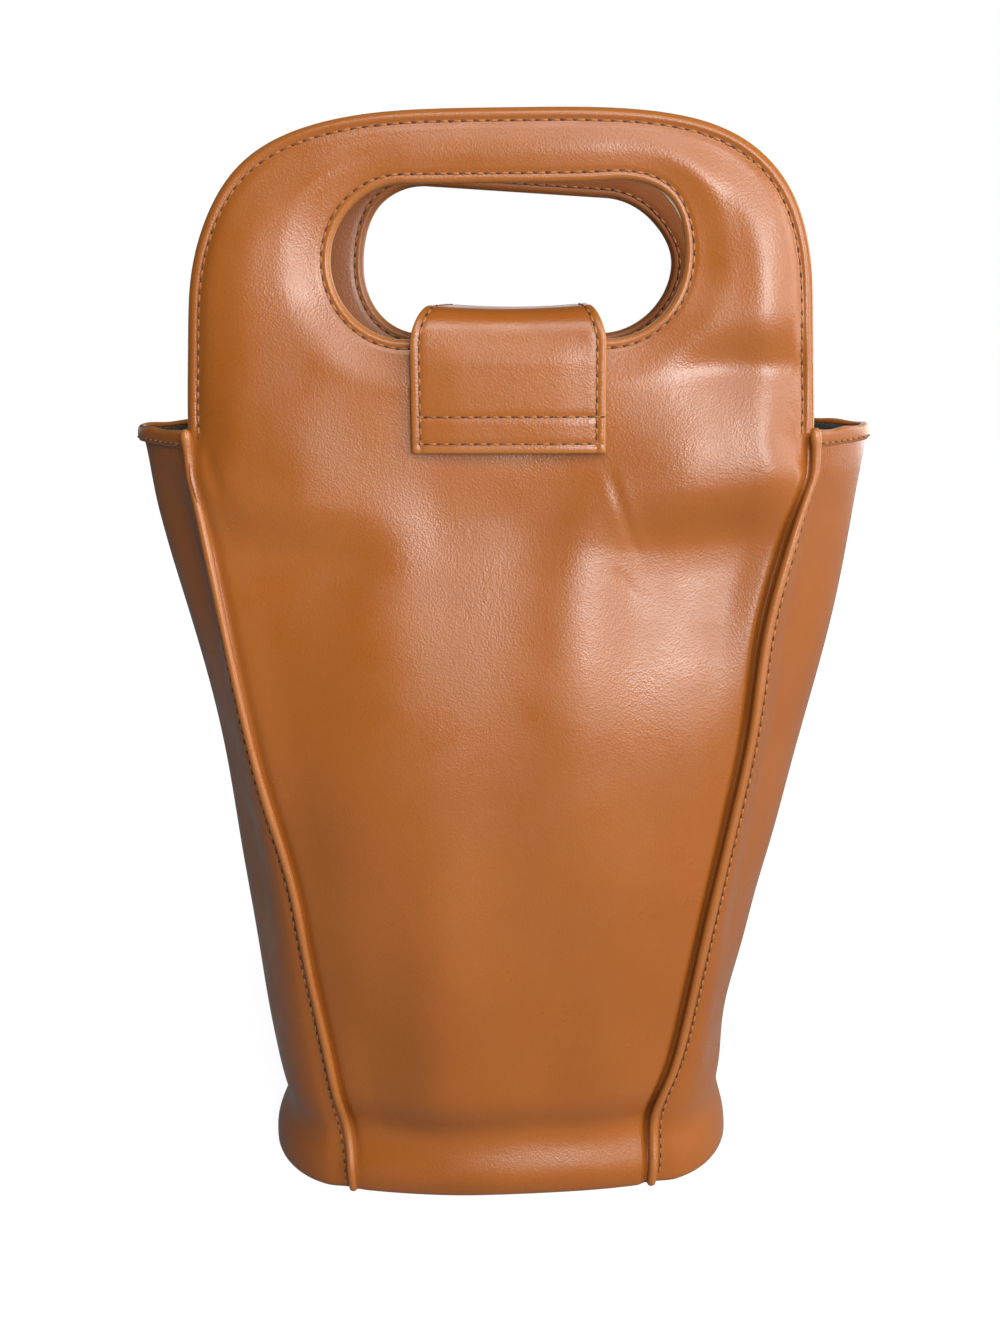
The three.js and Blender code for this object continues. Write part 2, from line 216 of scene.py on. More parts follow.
lights = [
    light_panel("front_light", (0.75, -1.35, 0.65), (0.0, 0.0, 0.22), 1.0, 11.0, (1.0, 0.99, 0.97)),
    light_panel("side_light", (1.0, -0.35, 0.18), (0.05, 0.0, 0.05), 0.5, 4.0, (1.0, 0.98, 0.95)),
    light_panel("rear_light", (0.9, 0.75, 0.40), (0.1, 0.0, 0.20), 0.6, 5.0, (0.95, 0.98, 1.0)),
    light_panel("key_light", (0.85, -0.60, 0.65), (0.0, 0.0, 0.25), 0.5, 6.0, (1.0, 0.98, 0.95)),
    light_panel("upper_light", (0.0, -0.9, 1.1), (0.0, 0.0, 0.3), 0.6, 8.0, (1.0, 1.0, 1.0)),
    light_panel("window_light", (0.26, -1.02, 0.46), (0.06, 0.0, 0.28), 0.32, 6.2, (0.95, 0.98, 1.0)),
    light_panel("back_light", (0.25, 1.6, 0.30), (0.0, 0.0, 0.25), 1.6, 10.0, (1.0, 0.99, 0.97)),
    light_panel("cool_light", (-0.8, 0.8, 0.36), (-0.1, 0.0, 0.18), 0.3, 0.30, (0.75, 0.9, 1.0)),
]
print("lights", [panel.name for panel in lights])

# %% [markdown]
# ## Finishes
#
# Smooth calf leather is a coloured skin under a thin polish. Three things make it read as leather: the
# tone drifts slowly over a hide, the polish is uneven, and a fine grain of tiny cells breaks up the
# highlights. All three come from noise in the piece's own coordinates, which are metres, so a scale of
# 1300 means cells of about three quarters of a millimetre. Where leather is folded over an edge it
# stretches and shows a lighter, more golden tone: the pieces carry a point attribute named wear for that.

# %% Finish tools
def surface(name):
    """A new material, its tree and the piece's own coordinates."""
    finish = bpy.data.materials.new(name)
    tree = node_tree(finish)
    return finish, tree, tree.add("ShaderNodeTexCoord").outputs["Object"]


def coat(tree, feeds):
    """The surface itself: a Principled shader fed with colour, roughness and relief."""
    shader = tree.add("ShaderNodeBsdfPrincipled", feeds)
    tree.add("ShaderNodeOutputMaterial", {"Surface": shader.outputs["BSDF"]})


def noise(tree, place, scale, detail=2.0, roughness=0.5):
    feeds = {"Vector": place, "Scale": scale, "Detail": detail, "Roughness": roughness}
    return tree.add("ShaderNodeTexNoise", feeds).outputs["Fac"]


def toned(tree, factor, low, high, start=0.3, end=0.7):
    """A colour that turns from one tone to another as the factor goes from start to end."""
    ramp = tree.add("ShaderNodeValToRGB", {"Fac": factor})
    for stop, position, tone in zip(ramp.color_ramp.elements, (start, end), (low, high)):
        stop.position = position
        stop.color = (*tone, 1.0)
    return ramp.outputs["Color"]


def blended(tree, factor, first, tone):
    """A colour mixed with a plain tone by a factor."""
    feeds = {"Factor": factor, 6: first, 7: (*tone, 1.0)}
    return tree.add("ShaderNodeMix", feeds, data_type="RGBA").outputs[2]


def bumped(tree, height, strength, distance, below=None):
    """A bump of the given height in metres, on top of another bump if there is one."""
    feeds = {"Strength": strength, "Distance": distance, "Height": height}
    if below is not None:
        feeds["Normal"] = below
    return tree.add("ShaderNodeBump", feeds).outputs["Normal"]


print("finish tools ready")

# %% Leather
DRIFT, POLISH, MOTTLE, PORES, GRAIN = 16.0, 55.0, 240.0, 420.0, 1300.0
LEATHER_IOR = 1.48
WORN_TONE = (0.44, 0.18, 0.05)


def leather(name, dark, light, rim, polish):
    """Smooth leather: drifting tone, worn rims, uneven polish and a fine grain."""
    finish, tree, place = surface(name)
    tone = toned(tree, noise(tree, place, DRIFT, 3.0), dark, light, 0.28, 0.72)
    spots = mapped(tree, noise(tree, place, MOTTLE, 4.0, 0.6), 0.4, 0.7, 0.0, 0.16)
    wear = tree.add("ShaderNodeAttribute", attribute_name="wear").outputs["Fac"]
    shine = mapped(tree, noise(tree, place, POLISH, 3.0), 0.3, 0.7, polish - 0.05, polish + 0.07)
    cells = tree.add("ShaderNodeTexVoronoi", {"Vector": place, "Scale": GRAIN}).outputs["Distance"]
    soft = bumped(tree, noise(tree, place, PORES, 3.0), 0.08, 0.0005)
    coat(tree, {
        "Base Color": blended(tree, wear, blended(tree, spots, tone, dark), rim),
        "Roughness": shine,
        "IOR": LEATHER_IOR,
        "Normal": bumped(tree, cells, 0.16, 0.0003, soft),
    })
    return finish


tan_leather = leather("tan_leather", (0.236, 0.065, 0.0078), (0.282, 0.082, 0.0120), WORN_TONE, 0.31)
edge_leather = leather("edge_leather", (0.236, 0.064, 0.0075), (0.310, 0.091, 0.014), WORN_TONE, 0.35)
inner_leather = leather(
    "inner_leather", (0.215, 0.058, 0.010), (0.275, 0.082, 0.016), (0.40, 0.165, 0.045), 0.40
)
print("leathers", tan_leather.name, edge_leather.name, inner_leather.name)

# %% [markdown]
# ### Cloth, thread, board and metal
#
# The other finishes are simpler: a tone that wanders between two colours, a roughness and, where light
# would show it, a fine bump. The pile of the lining also gets a sheen, the soft light that short fibres
# send back at grazing angles.

# %% Cloth, thread, board and metal
def pile_cloth():
    """Short dark pile: no gloss, a soft sheen at grazing angles and fibres that catch the light."""
    finish, tree, place = surface("pile_cloth")
    fibres = noise(tree, place, 900.0, 4.0, 0.7)
    coat(tree, {
        "Base Color": toned(tree, fibres, (0.006, 0.008, 0.005), (0.030, 0.034, 0.022), 0.3, 0.75),
        "Roughness": 0.95,
        "Sheen Weight": 0.25,
        "Sheen Roughness": 0.4,
        "Normal": bumped(tree, noise(tree, place, 1200.0, 3.0, 0.7), 0.7, 0.0008),
    })
    return finish


def waxed_thread():
    """Golden tan thread, a little uneven in tone and surface."""
    finish, tree, place = surface("thread")
    tone = toned(tree, noise(tree, place, 400.0), (0.21, 0.072, 0.016), (0.33, 0.130, 0.036))
    relief = bumped(tree, noise(tree, place, 2500.0), 0.4, 0.0002)
    coat(tree, {"Base Color": tone, "Roughness": 0.62, "Normal": relief})
    return finish


# The needle holes are small dark beads: painted shade where a hole would lie in shadow.
def paint_hole_shade():
    """Painted shade: a dark bead where a needle hole pressed into leather would lie in shadow."""
    finish, tree, place = surface("needle_hole")
    tone = toned(tree, noise(tree, place, 500.0), (0.05, 0.016, 0.006), (0.11, 0.036, 0.012))
    coat(tree, {"Base Color": tone, "Roughness": 0.8})
    return finish


def pressed_board():
    """Grey-brown fibre board with its pressed flecks."""
    finish, tree, place = surface("pressed_board")
    flecks = noise(tree, place, 350.0, 5.0, 0.7)
    coat(tree, {"Base Color": toned(tree, flecks, (0.16, 0.12, 0.08), (0.30, 0.24, 0.17)), "Roughness": 0.85})
    return finish


def brushed_nickel():
    """Nickel plate with a faint cloud in its tone and a slightly uneven shine."""
    finish, tree, place = surface("brushed_nickel")
    tone = toned(tree, noise(tree, place, 300.0, 4.0), (0.50, 0.48, 0.45), (0.66, 0.64, 0.61))
    shine = mapped(tree, noise(tree, place, 120.0, 4.0), 0.3, 0.7, 0.2, 0.4)
    coat(tree, {"Base Color": tone, "Metallic": 1.0, "Roughness": shine})
    return finish


lining_cloth = pile_cloth()
thread = waxed_thread()
needle_hole = paint_hole_shade()
fibre_board = pressed_board()
nickel = brushed_nickel()
print("finishes", [m.name for m in bpy.data.materials])

# %% [markdown]
# ## Tools for laying out skins
#
# A skin is a grid of points with a four-sided face between every four neighbours. A few small tools do the
# rest: they weld grids that share an edge, close the ends of a tube, give a skin its thickness by setting
# a copy back along the normals and closing the rim, and turn the result into a Blender object. Lengths are
# millimetres up to the moment a mesh is made.

# %% Skin tools
MM = 0.001


def ease(t):
    """0 below 0, 1 above 1, and a smooth turn between."""
    t = np.clip(t, 0.0, 1.0)
    return t * t * (3.0 - 2.0 * t)


def bell(value, middle, width):
    """1 in the middle, falling off smoothly to both sides."""
    return np.exp(-(((value - middle) / width) ** 2))


def grid_faces(rows, columns, closed=False):
    """Faces of a grid stored row by row. A closed grid joins its last column to its first."""
    row, column = np.meshgrid(
        np.arange(rows - 1), np.arange(columns if closed else columns - 1), indexing="ij"
    )
    here = (row * columns + column).ravel()
    beside = (row * columns + (column + 1) % columns).ravel()
    return np.stack([here, beside, beside + columns, here + columns], axis=1)


def cap(first, count):
    """Faces that close a ring of an even number of points, from side to side."""
    step = np.arange(count // 2 - 1)
    return first + np.stack([step, step + 1, count - 2 - step, count - 1 - step], axis=1)


def tube_faces(rows, columns):
    """Faces of a closed grid with both of its end rings closed."""
    ends = [cap(0, columns)[:, ::-1], cap((rows - 1) * columns, columns)]
    return np.concatenate([grid_faces(rows, columns, closed=True), *ends])


def weld(points, faces):
    """Points at the same place become one."""
    _, keep, where = np.unique(np.round(points, 4), axis=0, return_index=True, return_inverse=True)
    return points[keep], where.ravel()[faces]


def run_lengths(line):
    """How far along a polyline each of its points lies."""
    return np.concatenate([[0.0], np.cumsum(np.linalg.norm(np.diff(line, axis=0), axis=1))])


def evenly(line, count):
    """A polyline sampled again at equal steps along its length."""
    steps = run_lengths(line)
    wanted = np.linspace(0.0, steps[-1], count)
    return np.stack([np.interp(wanted, steps, line[:, k]) for k in range(line.shape[1])], axis=1)


def normals(points, faces):
    """Unit normals at the points, from the faces around each."""
    a, b, c, d = (points[faces[:, corner]] for corner in range(4))
    across = np.cross(c - a, d - b)
    total = np.zeros_like(points)
    for corner in range(4):
        np.add.at(total, faces[:, corner], across)
    return total / np.maximum(np.linalg.norm(total, axis=1, keepdims=True), 1e-9)


def thicken(points, faces, depth):
    """A closed shell: the skin, a copy set back by depth and a rim along every open edge."""
    count = len(points)
    back = points - normals(points, faces) * depth
    edges = np.concatenate([faces[:, [k, (k + 1) % 4]] for k in range(4)])
    code = edges[:, 0] * count + edges[:, 1]
    twin = edges[:, 1] * count + edges[:, 0]
    rim = edges[~np.isin(code, twin)]
    rim_faces = np.stack([rim[:, 1], rim[:, 0], rim[:, 0] + count, rim[:, 1] + count], axis=1)
    return np.concatenate([points, back]), np.concatenate([faces, faces[:, ::-1] + count, rim_faces])


def add_piece(name, points, faces, finish, wear=None):
    """A smooth mesh object from points in millimetres."""
    mesh = bpy.data.meshes.new(name)
    mesh.from_pydata((np.asarray(points) * MM).tolist(), [], np.asarray(faces).tolist())
    mesh.polygons.foreach_set("use_smooth", np.ones(len(mesh.polygons), dtype=bool))
    if wear is not None:
        layer = mesh.attributes.new("wear", "FLOAT", "POINT")
        layer.data.foreach_set("value", np.asarray(wear, dtype=np.float32))
    mesh.materials.append(finish)
    piece = bpy.data.objects.new(name, mesh)
    scene.collection.objects.link(piece)
    return piece


print("skin tools ready")

# %% [markdown]
# ## The shape of the bag
#
# Seen from the front the body narrows from the mouth to the base. Seen from the side it is nearly straight
# and leans in below the mouth. Near the floor the walls turn out over the edge of the base board. These
# functions give that shape at any height, and every skin below is built from them, so that neighbours
# meet along the same seams. The real bag stands a little unevenly: its seams wander by a few millimetres,
# each gusset swells in its own way, and the right end of the base sits a little further back. A few soft
# swells per seam, each with its height, its reach and how far it stands out, hold that.

# %% Shape functions
MOUTH = 293.0
FLARE_HEIGHT, FLARE_FRONT, FLARE_ENDS = 30.0, 1.5, 7.5
FOOT_HALF_DEPTH, LEAN_IN, LEAN_START, LEAN_SPAN = 43.5, 8.5, 150.0, 130.0
LEAN_SAMPLES = (-8.0, -4.0, 0.0, 4.0, 8.0)
PANEL_FOOT_HALF, PANEL_WIDENING, PANEL_TAPER = 58.0, 49.5, 278.0
FOLD_FOOT_HALF, FOLD_WIDENING, FOLD_WAIST = 85.5, 48.5, 3.0


def flare(z):
    """How far the walls turn out near the floor, from 1 at the floor to 0."""
    return np.clip(1.0 - z / FLARE_HEIGHT, 0.0, 1.0) ** 2


def half_depth(z):
    """Half the depth of the body. A few samples round off the bend below the mouth."""
    lean = sum(np.clip((z + step - LEAN_START) / LEAN_SPAN, 0.0, 1.0) ** 2 for step in LEAN_SAMPLES)
    return FOOT_HALF_DEPTH - LEAN_IN * lean / len(LEAN_SAMPLES) + FLARE_FRONT * flare(z)


def pattern_half(z):
    """Half the width of a hide's cutting pattern below the mouth."""
    return PANEL_FOOT_HALF + PANEL_WIDENING * np.clip(z / PANEL_TAPER, 0.0, 1.0)


def fold_half(z):
    """Half the width of the body at the fold of a gusset."""
    plain = FOLD_FOOT_HALF + FOLD_WIDENING * z / MOUTH + FLARE_ENDS * flare(z)
    return plain - FOLD_WAIST * np.sin(np.pi * z / MOUTH)


Swell = namedtuple("Swell", "height reach out")
SEAM_SWELLS = {
    -1: (Swell(18, 18, -1.8), Swell(62, 40, -2.4), Swell(126, 34, -3.4), Swell(300, 24, 1.9)),
    1: (Swell(30, 17, -3.8), Swell(120, 60, -0.5), Swell(226, 30, -2.9), Swell(284, 16, 2.3)),
}
FOLD_SWELLS = {
    -1: (
        Swell(9, 11, 3.2), Swell(55, 42, 3.6), Swell(120, 40, 1.8), Swell(262, 40, 1.8), Swell(300, 9, 1.6),
    ),
    1: (
        Swell(-4, 9, -2.4), Swell(62, 30, -4.2), Swell(108, 24, -1.7), Swell(226, 52, 3.6),
        Swell(300, 14, -1.6),
    ),
}
SETTLE_SLOPE, SETTLE_CURVE, SETTLE_HEIGHT = 0.071, 0.00076, 110.0
SETTLE_BACK, SETTLE_FADE = 25.0, 60.0
WAVES, WAVE_STEEPNESS = 7, 0.004


def swell(z, parts):
    """Soft bulges and hollows up a seam, positive outwards."""
    return sum(part.out * bell(z, part.height, part.reach) for part in parts)


def settle(points):
    """The uneven stand of the bag: the front edge of the base turns back towards its right end."""
    x, y, z = points.T
    turn = (SETTLE_SLOPE * x + SETTLE_CURVE * x**2) * np.exp(-((z / SETTLE_HEIGHT) ** 2))
    points[:, 1] += turn * ease((SETTLE_BACK - y) / SETTLE_FADE)
    return points


def waves(x, z, seed):
    """Slow undulations, longer up the bag than across it, about one millimetre high."""
    draw = np.random.default_rng(seed)
    total = np.zeros(np.broadcast(x, z).shape)
    for _ in range(WAVES):
        across, along = draw.uniform(26.0, 85.0), draw.uniform(110.0, 320.0)
        lean, start = draw.uniform(-1.0, 1.0), draw.uniform(0.0, 2.0 * np.pi)
        phase = 2.0 * np.pi * (x / across + lean * z / along) + start
        total += WAVE_STEEPNESS * across * np.sin(phase)
    return total


print("half depth at floor, middle, mouth", half_depth(np.array([0.0, 0.5 * MOUTH, MOUTH])).round(1))

# %% [markdown]
# ## The two hides
#
# Each hide is one piece of leather from the floor to the top of the handle. Its pattern has two parts that
# share the mouth line. Below it is a tapering panel, laid out as rows and columns. Above it is a ring
# around the hand-hole: every point of the outer edge is joined by a straight line to the nearest point of
# the hole, and points sit closest together near both ends of the line, where the leather rolls over the
# edge. A point of the pattern is then laid in space: x and z stay but for a small drift, and y comes from
# the shape of the bag plus the relief of the leather.

# %% Pattern of a hide
HANDLE_HALF, SHOULDER_FOOT, SHOULDER_HEIGHT, SHOULDER_POWER = 107.5, 315.0, 85.0, 3.4
HOLE_RADIUS, HOLE_STRAIGHT, HOLE_HEIGHT = 25.5, 34.5, 350.5
EDGE_ROLL, RIM_STITCH, HOLE_STITCH = 2.4, 4.3, 3.1
FAR, RIM_FOOT = 60.0, 262.0
FOOT_ROWS = [0.0, 0.1, 0.35, 0.8, 1.5, 2.4, 3.5, 5.0]
FINE_STEPS = np.array([0.0, 0.2, 0.5, 0.9, 1.4, 2.0, 2.7, 3.4, 4.2, 5.2, 6.4])


def handle_edge(count):
    """The handle's outer edge from the right end of the mouth line, over the top, to the left end."""
    angle = np.linspace(0.0, np.pi, 1201)
    power = 2.0 / SHOULDER_POWER
    arch = np.stack(
        [
            HANDLE_HALF * np.sign(np.cos(angle)) * np.abs(np.cos(angle)) ** power,
            SHOULDER_FOOT + SHOULDER_HEIGHT * np.abs(np.sin(angle)) ** power,
        ],
        axis=1,
    )
    return evenly(np.concatenate([[[HANDLE_HALF, MOUTH]], arch, [[-HANDLE_HALF, MOUTH]]]), count)


def hole_distance(x, z):
    """Distance from the edge of the hand-hole, positive on the leather."""
    return np.hypot(x - np.clip(x, -HOLE_STRAIGHT, HOLE_STRAIGHT), z - HOLE_HEIGHT) - HOLE_RADIUS


RIM_LINE = handle_edge(361)


def rim_distance(x, z):
    """Distance from the outer edge of the handle. Points well below the mouth count as far away."""
    far = np.full(x.shape, FAR)
    near = z > RIM_FOOT
    spot = np.stack([x[near], z[near]], axis=1)
    best = np.full(len(spot), FAR)
    for start, end in zip(RIM_LINE[:-1], RIM_LINE[1:]):
        along = end - start
        share = np.clip((spot - start) @ along / (along @ along), 0.0, 1.0)
        best = np.minimum(best, np.linalg.norm(spot - start - share[:, None] * along, axis=1))
    far[near] = best
    return far


# Columns are shares of the panel's half width, closer together at its edges.
panel_rows = np.concatenate([FOOT_ROWS, np.linspace(7.0, MOUTH, 185)])
inner_columns = np.linspace(-1.0, 1.0, 131)[4:-4]
edge_columns = 1.0 - np.array([0.0, 0.4, 1.0, 1.8, 2.8, 4.0, 5.5]) / HANDLE_HALF
panel_columns = np.concatenate([-edge_columns, inner_columns, edge_columns[::-1]])


def ring_pattern():
    """The part above the mouth line, as a ring of rows from the hole outwards.

    The rows are close together at both edges, where the leather turns over and is stitched.
    """
    mouth_line = np.stack([panel_columns * HANDLE_HALF, np.full(len(panel_columns), MOUTH)], axis=1)
    outer = np.concatenate([mouth_line, handle_edge(211)[1:-1]])
    spine_x = np.clip(outer[:, 0], -HOLE_STRAIGHT, HOLE_STRAIGHT)
    spine = np.stack([spine_x, np.full(len(outer), HOLE_HEIGHT)], axis=1)
    reach = np.linalg.norm(outer - spine, axis=1, keepdims=True)
    aim = (outer - spine) / reach
    length = reach[:, 0] - HOLE_RADIUS
    fine = FINE_STEPS[-1]
    rows = [np.full(len(outer), step) for step in FINE_STEPS]
    rows += [fine + (length - 2.0 * fine) * share for share in np.linspace(0.0, 1.0, 16)[1:-1]]
    rows += [length - step for step in FINE_STEPS[::-1]]
    points = np.concatenate([spine + aim * (HOLE_RADIUS + row)[:, None] for row in rows])
    return points, len(rows), len(outer)


def hide_pattern(rows_below):
    """Points (x, z) and faces of a whole hide, welded along the mouth line."""
    z, share = np.meshgrid(rows_below, panel_columns, indexing="ij")
    panel = np.stack([(share * pattern_half(z)).ravel(), z.ravel()], axis=1)
    panel_faces = grid_faces(len(rows_below), len(panel_columns))
    ring, rows, columns = ring_pattern()
    ring_faces = grid_faces(rows, columns, closed=True)[:, ::-1] + len(panel)
    return weld(np.concatenate([panel, ring]), np.concatenate([panel_faces, ring_faces]))


pattern, pattern_faces = hide_pattern(panel_rows)
print("hide pattern", len(pattern), "points", len(pattern_faces), "faces")

# %% [markdown]
# ## Relief of the leather
#
# The relief is what the hand would feel on the hide. Along the handle the leather is turned over the edge
# and pulled in by the stitches, so a rounded bead runs outside each stitch line. Between the two lines
# the board inside makes the handle swell. Below the mouth, where that stiffness ends, the soft leather
# bends: on each half of the hide a ridge runs across and breaks to a hollow. At the side seams the leather
# dips under the welt, at the floor it rolls round the base board, and dents, long folds and a few creases
# mark how the bag has been used. All of it is worked out on the flat pattern, because a hide keeps its
# marks where it was folded, whatever shape it is laid over.

# %% Relief
LEATHER = 1.4
HANDLE_FOOT, HANDLE_FADE = 287.0, 8.0
RIM_GROOVE, RIM_BEAD, HOLE_GROOVE = 0.75, 0.25, 0.6
PAD_RISE, PAD_FOOT, PAD_FADE = 2.4, 250.0, 40.0
SNAP_HEIGHT, SNAP_REACH, SNAP_PRESS = 308.0, 24.0, 0.85
FOOT_ROLL, FOOT_BEAD, FOOT_HOLLOW = 3.0, 2.0, 3.9
BEND_REACH, RIDGE_RAMP, HOLLOW_DROP = 95.0, 22.0, 32.0
CREASE_LIP = 0.30
Hide = namedtuple("Hide", "name side seed belly bends seams dents folds creases")
Dent = namedtuple("Dent", "x z wide high rise")
Fold = namedtuple("Fold", "x width top foot rise")
Crease = namedtuple("Crease", "start end depth width")
Bend = namedtuple("Bend", "crest slant rise back hollow")


def edge_roll(distance, radius=EDGE_ROLL):
    """How far a rounded edge falls away at a distance in from the edge."""
    inside = radius - np.clip(distance, 0.0, radius)
    return radius - np.sqrt(np.maximum(radius**2 - inside**2, 0.0))


def crease_relief(x, z, crease):
    """A furrow with a raised lip on both sides that fades out at its ends."""
    start, end = np.array(crease.start), np.array(crease.end)
    along = end - start
    share = ((x - start[0]) * along[0] + (z - start[1]) * along[1]) / (along @ along)
    away = np.abs((x - start[0]) * along[1] - (z - start[1]) * along[0]) / np.linalg.norm(along)
    fade = ease((share + 0.15) / 0.4) * ease((1.15 - share) / 0.4)
    lip = CREASE_LIP * bell(away, 2.0 * crease.width, crease.width)
    return -crease.depth * fade * (bell(away, 0.0, crease.width) - lip)


def foot_relief(z):
    """The roll round the base board: a bead near the floor and a hollow above it."""
    return FOOT_BEAD * bell(z, 8.0, 7.5) - FOOT_HOLLOW * bell(z, 26.5, 10.0) - edge_roll(z, FOOT_ROLL)


def bend_relief(hide, x, z):
    """The bend below the stiff handle: on each half a ridge that breaks to a hollow.

    It fades out towards the middle, under the tab, and weakens at the side seams.
    """
    aside = np.clip(np.abs(x) / BEND_REACH, 0.0, 1.0)
    height = np.zeros_like(x)
    for side, bend in zip((-1.0, 1.0), hide.bends):
        level = z - bend.crest - bend.slant * (aside - 0.5)
        ridge = ease((level + RIDGE_RAMP) / RIDGE_RAMP) * ease((bend.back - level) / bend.back)
        below = bell(level, -HOLLOW_DROP, np.where(level < -HOLLOW_DROP, 48.0, 22.0))
        height += np.where(x * side > 0.0, bend.rise * ridge - bend.hollow * below, 0.0)
    seam = np.maximum(pattern_half(np.minimum(z, MOUTH)) - np.abs(x), 0.0)
    return height * ease((aside - 0.2) / 0.55) * (0.4 + 0.6 * ease(seam / 18.0))


def on_handle(z):
    """0 below the mouth line and 1 on the handle."""
    return ease((z - HANDLE_FOOT) / HANDLE_FADE)


def handle_relief(x, z, rim, hole):
    """Rolled edges with a groove under each stitch line, and the pad between, pressed flat at the snap."""
    edge = edge_roll(rim) + RIM_GROOVE * bell(rim, RIM_STITCH, 0.9) - RIM_BEAD * bell(rim, 2.3, 1.2)
    height = -on_handle(z) * edge
    height -= edge_roll(hole) + HOLE_GROOVE * bell(hole, HOLE_STITCH, 0.8)
    pad = ease((rim - 3.2) / 17.0) * ease((hole - 2.0) / 15.0) * ease((z - PAD_FOOT) / PAD_FADE)
    pressed = SNAP_PRESS * bell(np.hypot(x, z - SNAP_HEIGHT), 0.0, SNAP_REACH)
    return height + PAD_RISE * pad * (1.0 - pressed)


def hide_relief(hide, x, z):
    """Height of the leather over the plain shape, positive outwards."""
    rim, hole = rim_distance(x, z), hole_distance(x, z)
    seam = np.where(z < MOUTH, np.maximum(pattern_half(z) - np.abs(x), 0.0), FAR)
    height = handle_relief(x, z, rim, hole)
    tight = np.where(x < 0.0, *hide.seams) * (0.3 + 0.7 * ease((z - 4.0) / 24.0))
    height -= (1.0 - on_handle(z)) * tight * bell(seam, 2.0, 1.7)
    height += foot_relief(z) + bend_relief(hide, x, z)
    calm = ease((seam - 1.0) / 16.0) * ease((z - 10.0) / 40.0) * (1.0 - 0.7 * ease((z - 255.0) / 25.0))
    height += calm * waves(x, z, hide.seed)
    for dent in hide.dents:
        height += dent.rise * bell(x, dent.x, dent.wide) * bell(z, dent.z, dent.high) * ease(rim / 9.0)
    for fold in hide.folds:
        reach = ease((z - fold.foot) / 50.0) * ease((fold.top - z) / 25.0)
        height += fold.rise * reach * bell(x, fold.x, fold.width)
    for crease in hide.creases:
        height += crease_relief(x, z, crease)
    return height


print("relief of the foot at 0, 8 and 26 mm", foot_relief(np.array([0.0, 8.0, 26.0])).round(1))

# %% [markdown]
# ### Laying a hide in place
#
# No sewn bag is quite true. Its seams wander, the left side bulges, and the back handle has slipped a
# little to one side. So each point of the pattern first drifts a few millimetres along the hide. Then its
# depth follows from the shape of the bag, a belly that swells between the seams, and the relief.

# %% Placing
HOLE_HALF = HOLE_STRAIGHT + HOLE_RADIUS
DRIFT_FADE = 45.0
FRONT_SHOULDER, FRONT_SLIP = 2.8, 3.2
FRONT_CORNER, CORNER_OUT, CORNER_UP = (50.0, 369.0), 2.6, 1.8
BACK_LEFT, BACK_HOLE_LEFT, BACK_HOLE_RIGHT = -9.6, -3.0, -5.4
BACK_TILT, TILT_CENTRE, TILT_FOOT = 0.07, -15.0, 345.0


def between(x, table):
    """Values given at the left edge, both ends of the hole and the right edge, read at x."""
    places = [-HANDLE_HALF, -HOLE_HALF, HOLE_HALF, HANDLE_HALF]
    total = np.zeros_like(x)
    for start, end, first, second in zip(places, places[1:], table, table[1:]):
        share = ease((x - start) / (end - start))
        inside = (x >= start) & (x <= end)
        total = np.where(inside, first * (1.0 - share) + second * share, total)
    return total


def drift(hide, x, z):
    """How far the pattern has shifted sideways and upwards on this bag, as (along x, along z)."""
    level = np.minimum(z, MOUTH)
    share = np.interp(np.clip(x / pattern_half(level), -1.0, 1.0), [-1.0, 1.0], [0.0, 1.0])
    low, high = (swell(level, SEAM_SWELLS[side * hide.side]) for side in (-1, 1))
    shift = (-low * (1.0 - share) ** 2 + high * share**2) * ease((MOUTH + DRIFT_FADE - z) / DRIFT_FADE)
    if hide.side > 0:
        shoulder = FRONT_SHOULDER * bell(z, 374.0, 26.0)
        corner = bell(np.hypot(x - FRONT_CORNER[0], z - FRONT_CORNER[1]), 0.0, 15.0)
        slip = ease((z - MOUTH - 4.0) / 28.0) * between(x, (shoulder, FRONT_SLIP, FRONT_SLIP, 0.0))
        return shift + slip + CORNER_OUT * corner, CORNER_UP * corner
    slip = ease((z - MOUTH) / 60.0) * between(x, (BACK_LEFT, BACK_HOLE_LEFT, BACK_HOLE_RIGHT, 0.0))
    return shift + slip, BACK_TILT * (x - TILT_CENTRE) * ease((z - TILT_FOOT) / 25.0)


def lay_hide(hide, x, z, lift=0.0, relief=True):
    """Pattern points placed in space. Lift moves them off the leather, outwards if positive.

    The belly is fuller on the pattern's left half, where lean is 1, than on its right, where it is 0.
    """
    share = np.clip(x / pattern_half(np.minimum(z, MOUTH)), -1.0, 1.0)
    lean = ease(0.5 - share)
    crown = (1.0 + 0.4 * lean) * (1.0 - np.abs(share) ** (3.0 - 0.9 * lean))
    rise = np.clip((z + 10.0) / (MOUTH + 10.0), 0.0, 1.0)
    belly = hide.belly * crown * np.sin(np.pi * rise**0.75) * (1.0 - rise**6)
    height = hide_relief(hide, x, z) if relief else 0.0
    y = -(half_depth(z) + belly + height + lift)
    aside, above = drift(hide, x, z)
    return settle(np.stack([(x + aside) * hide.side, y * hide.side, z + above], axis=1))


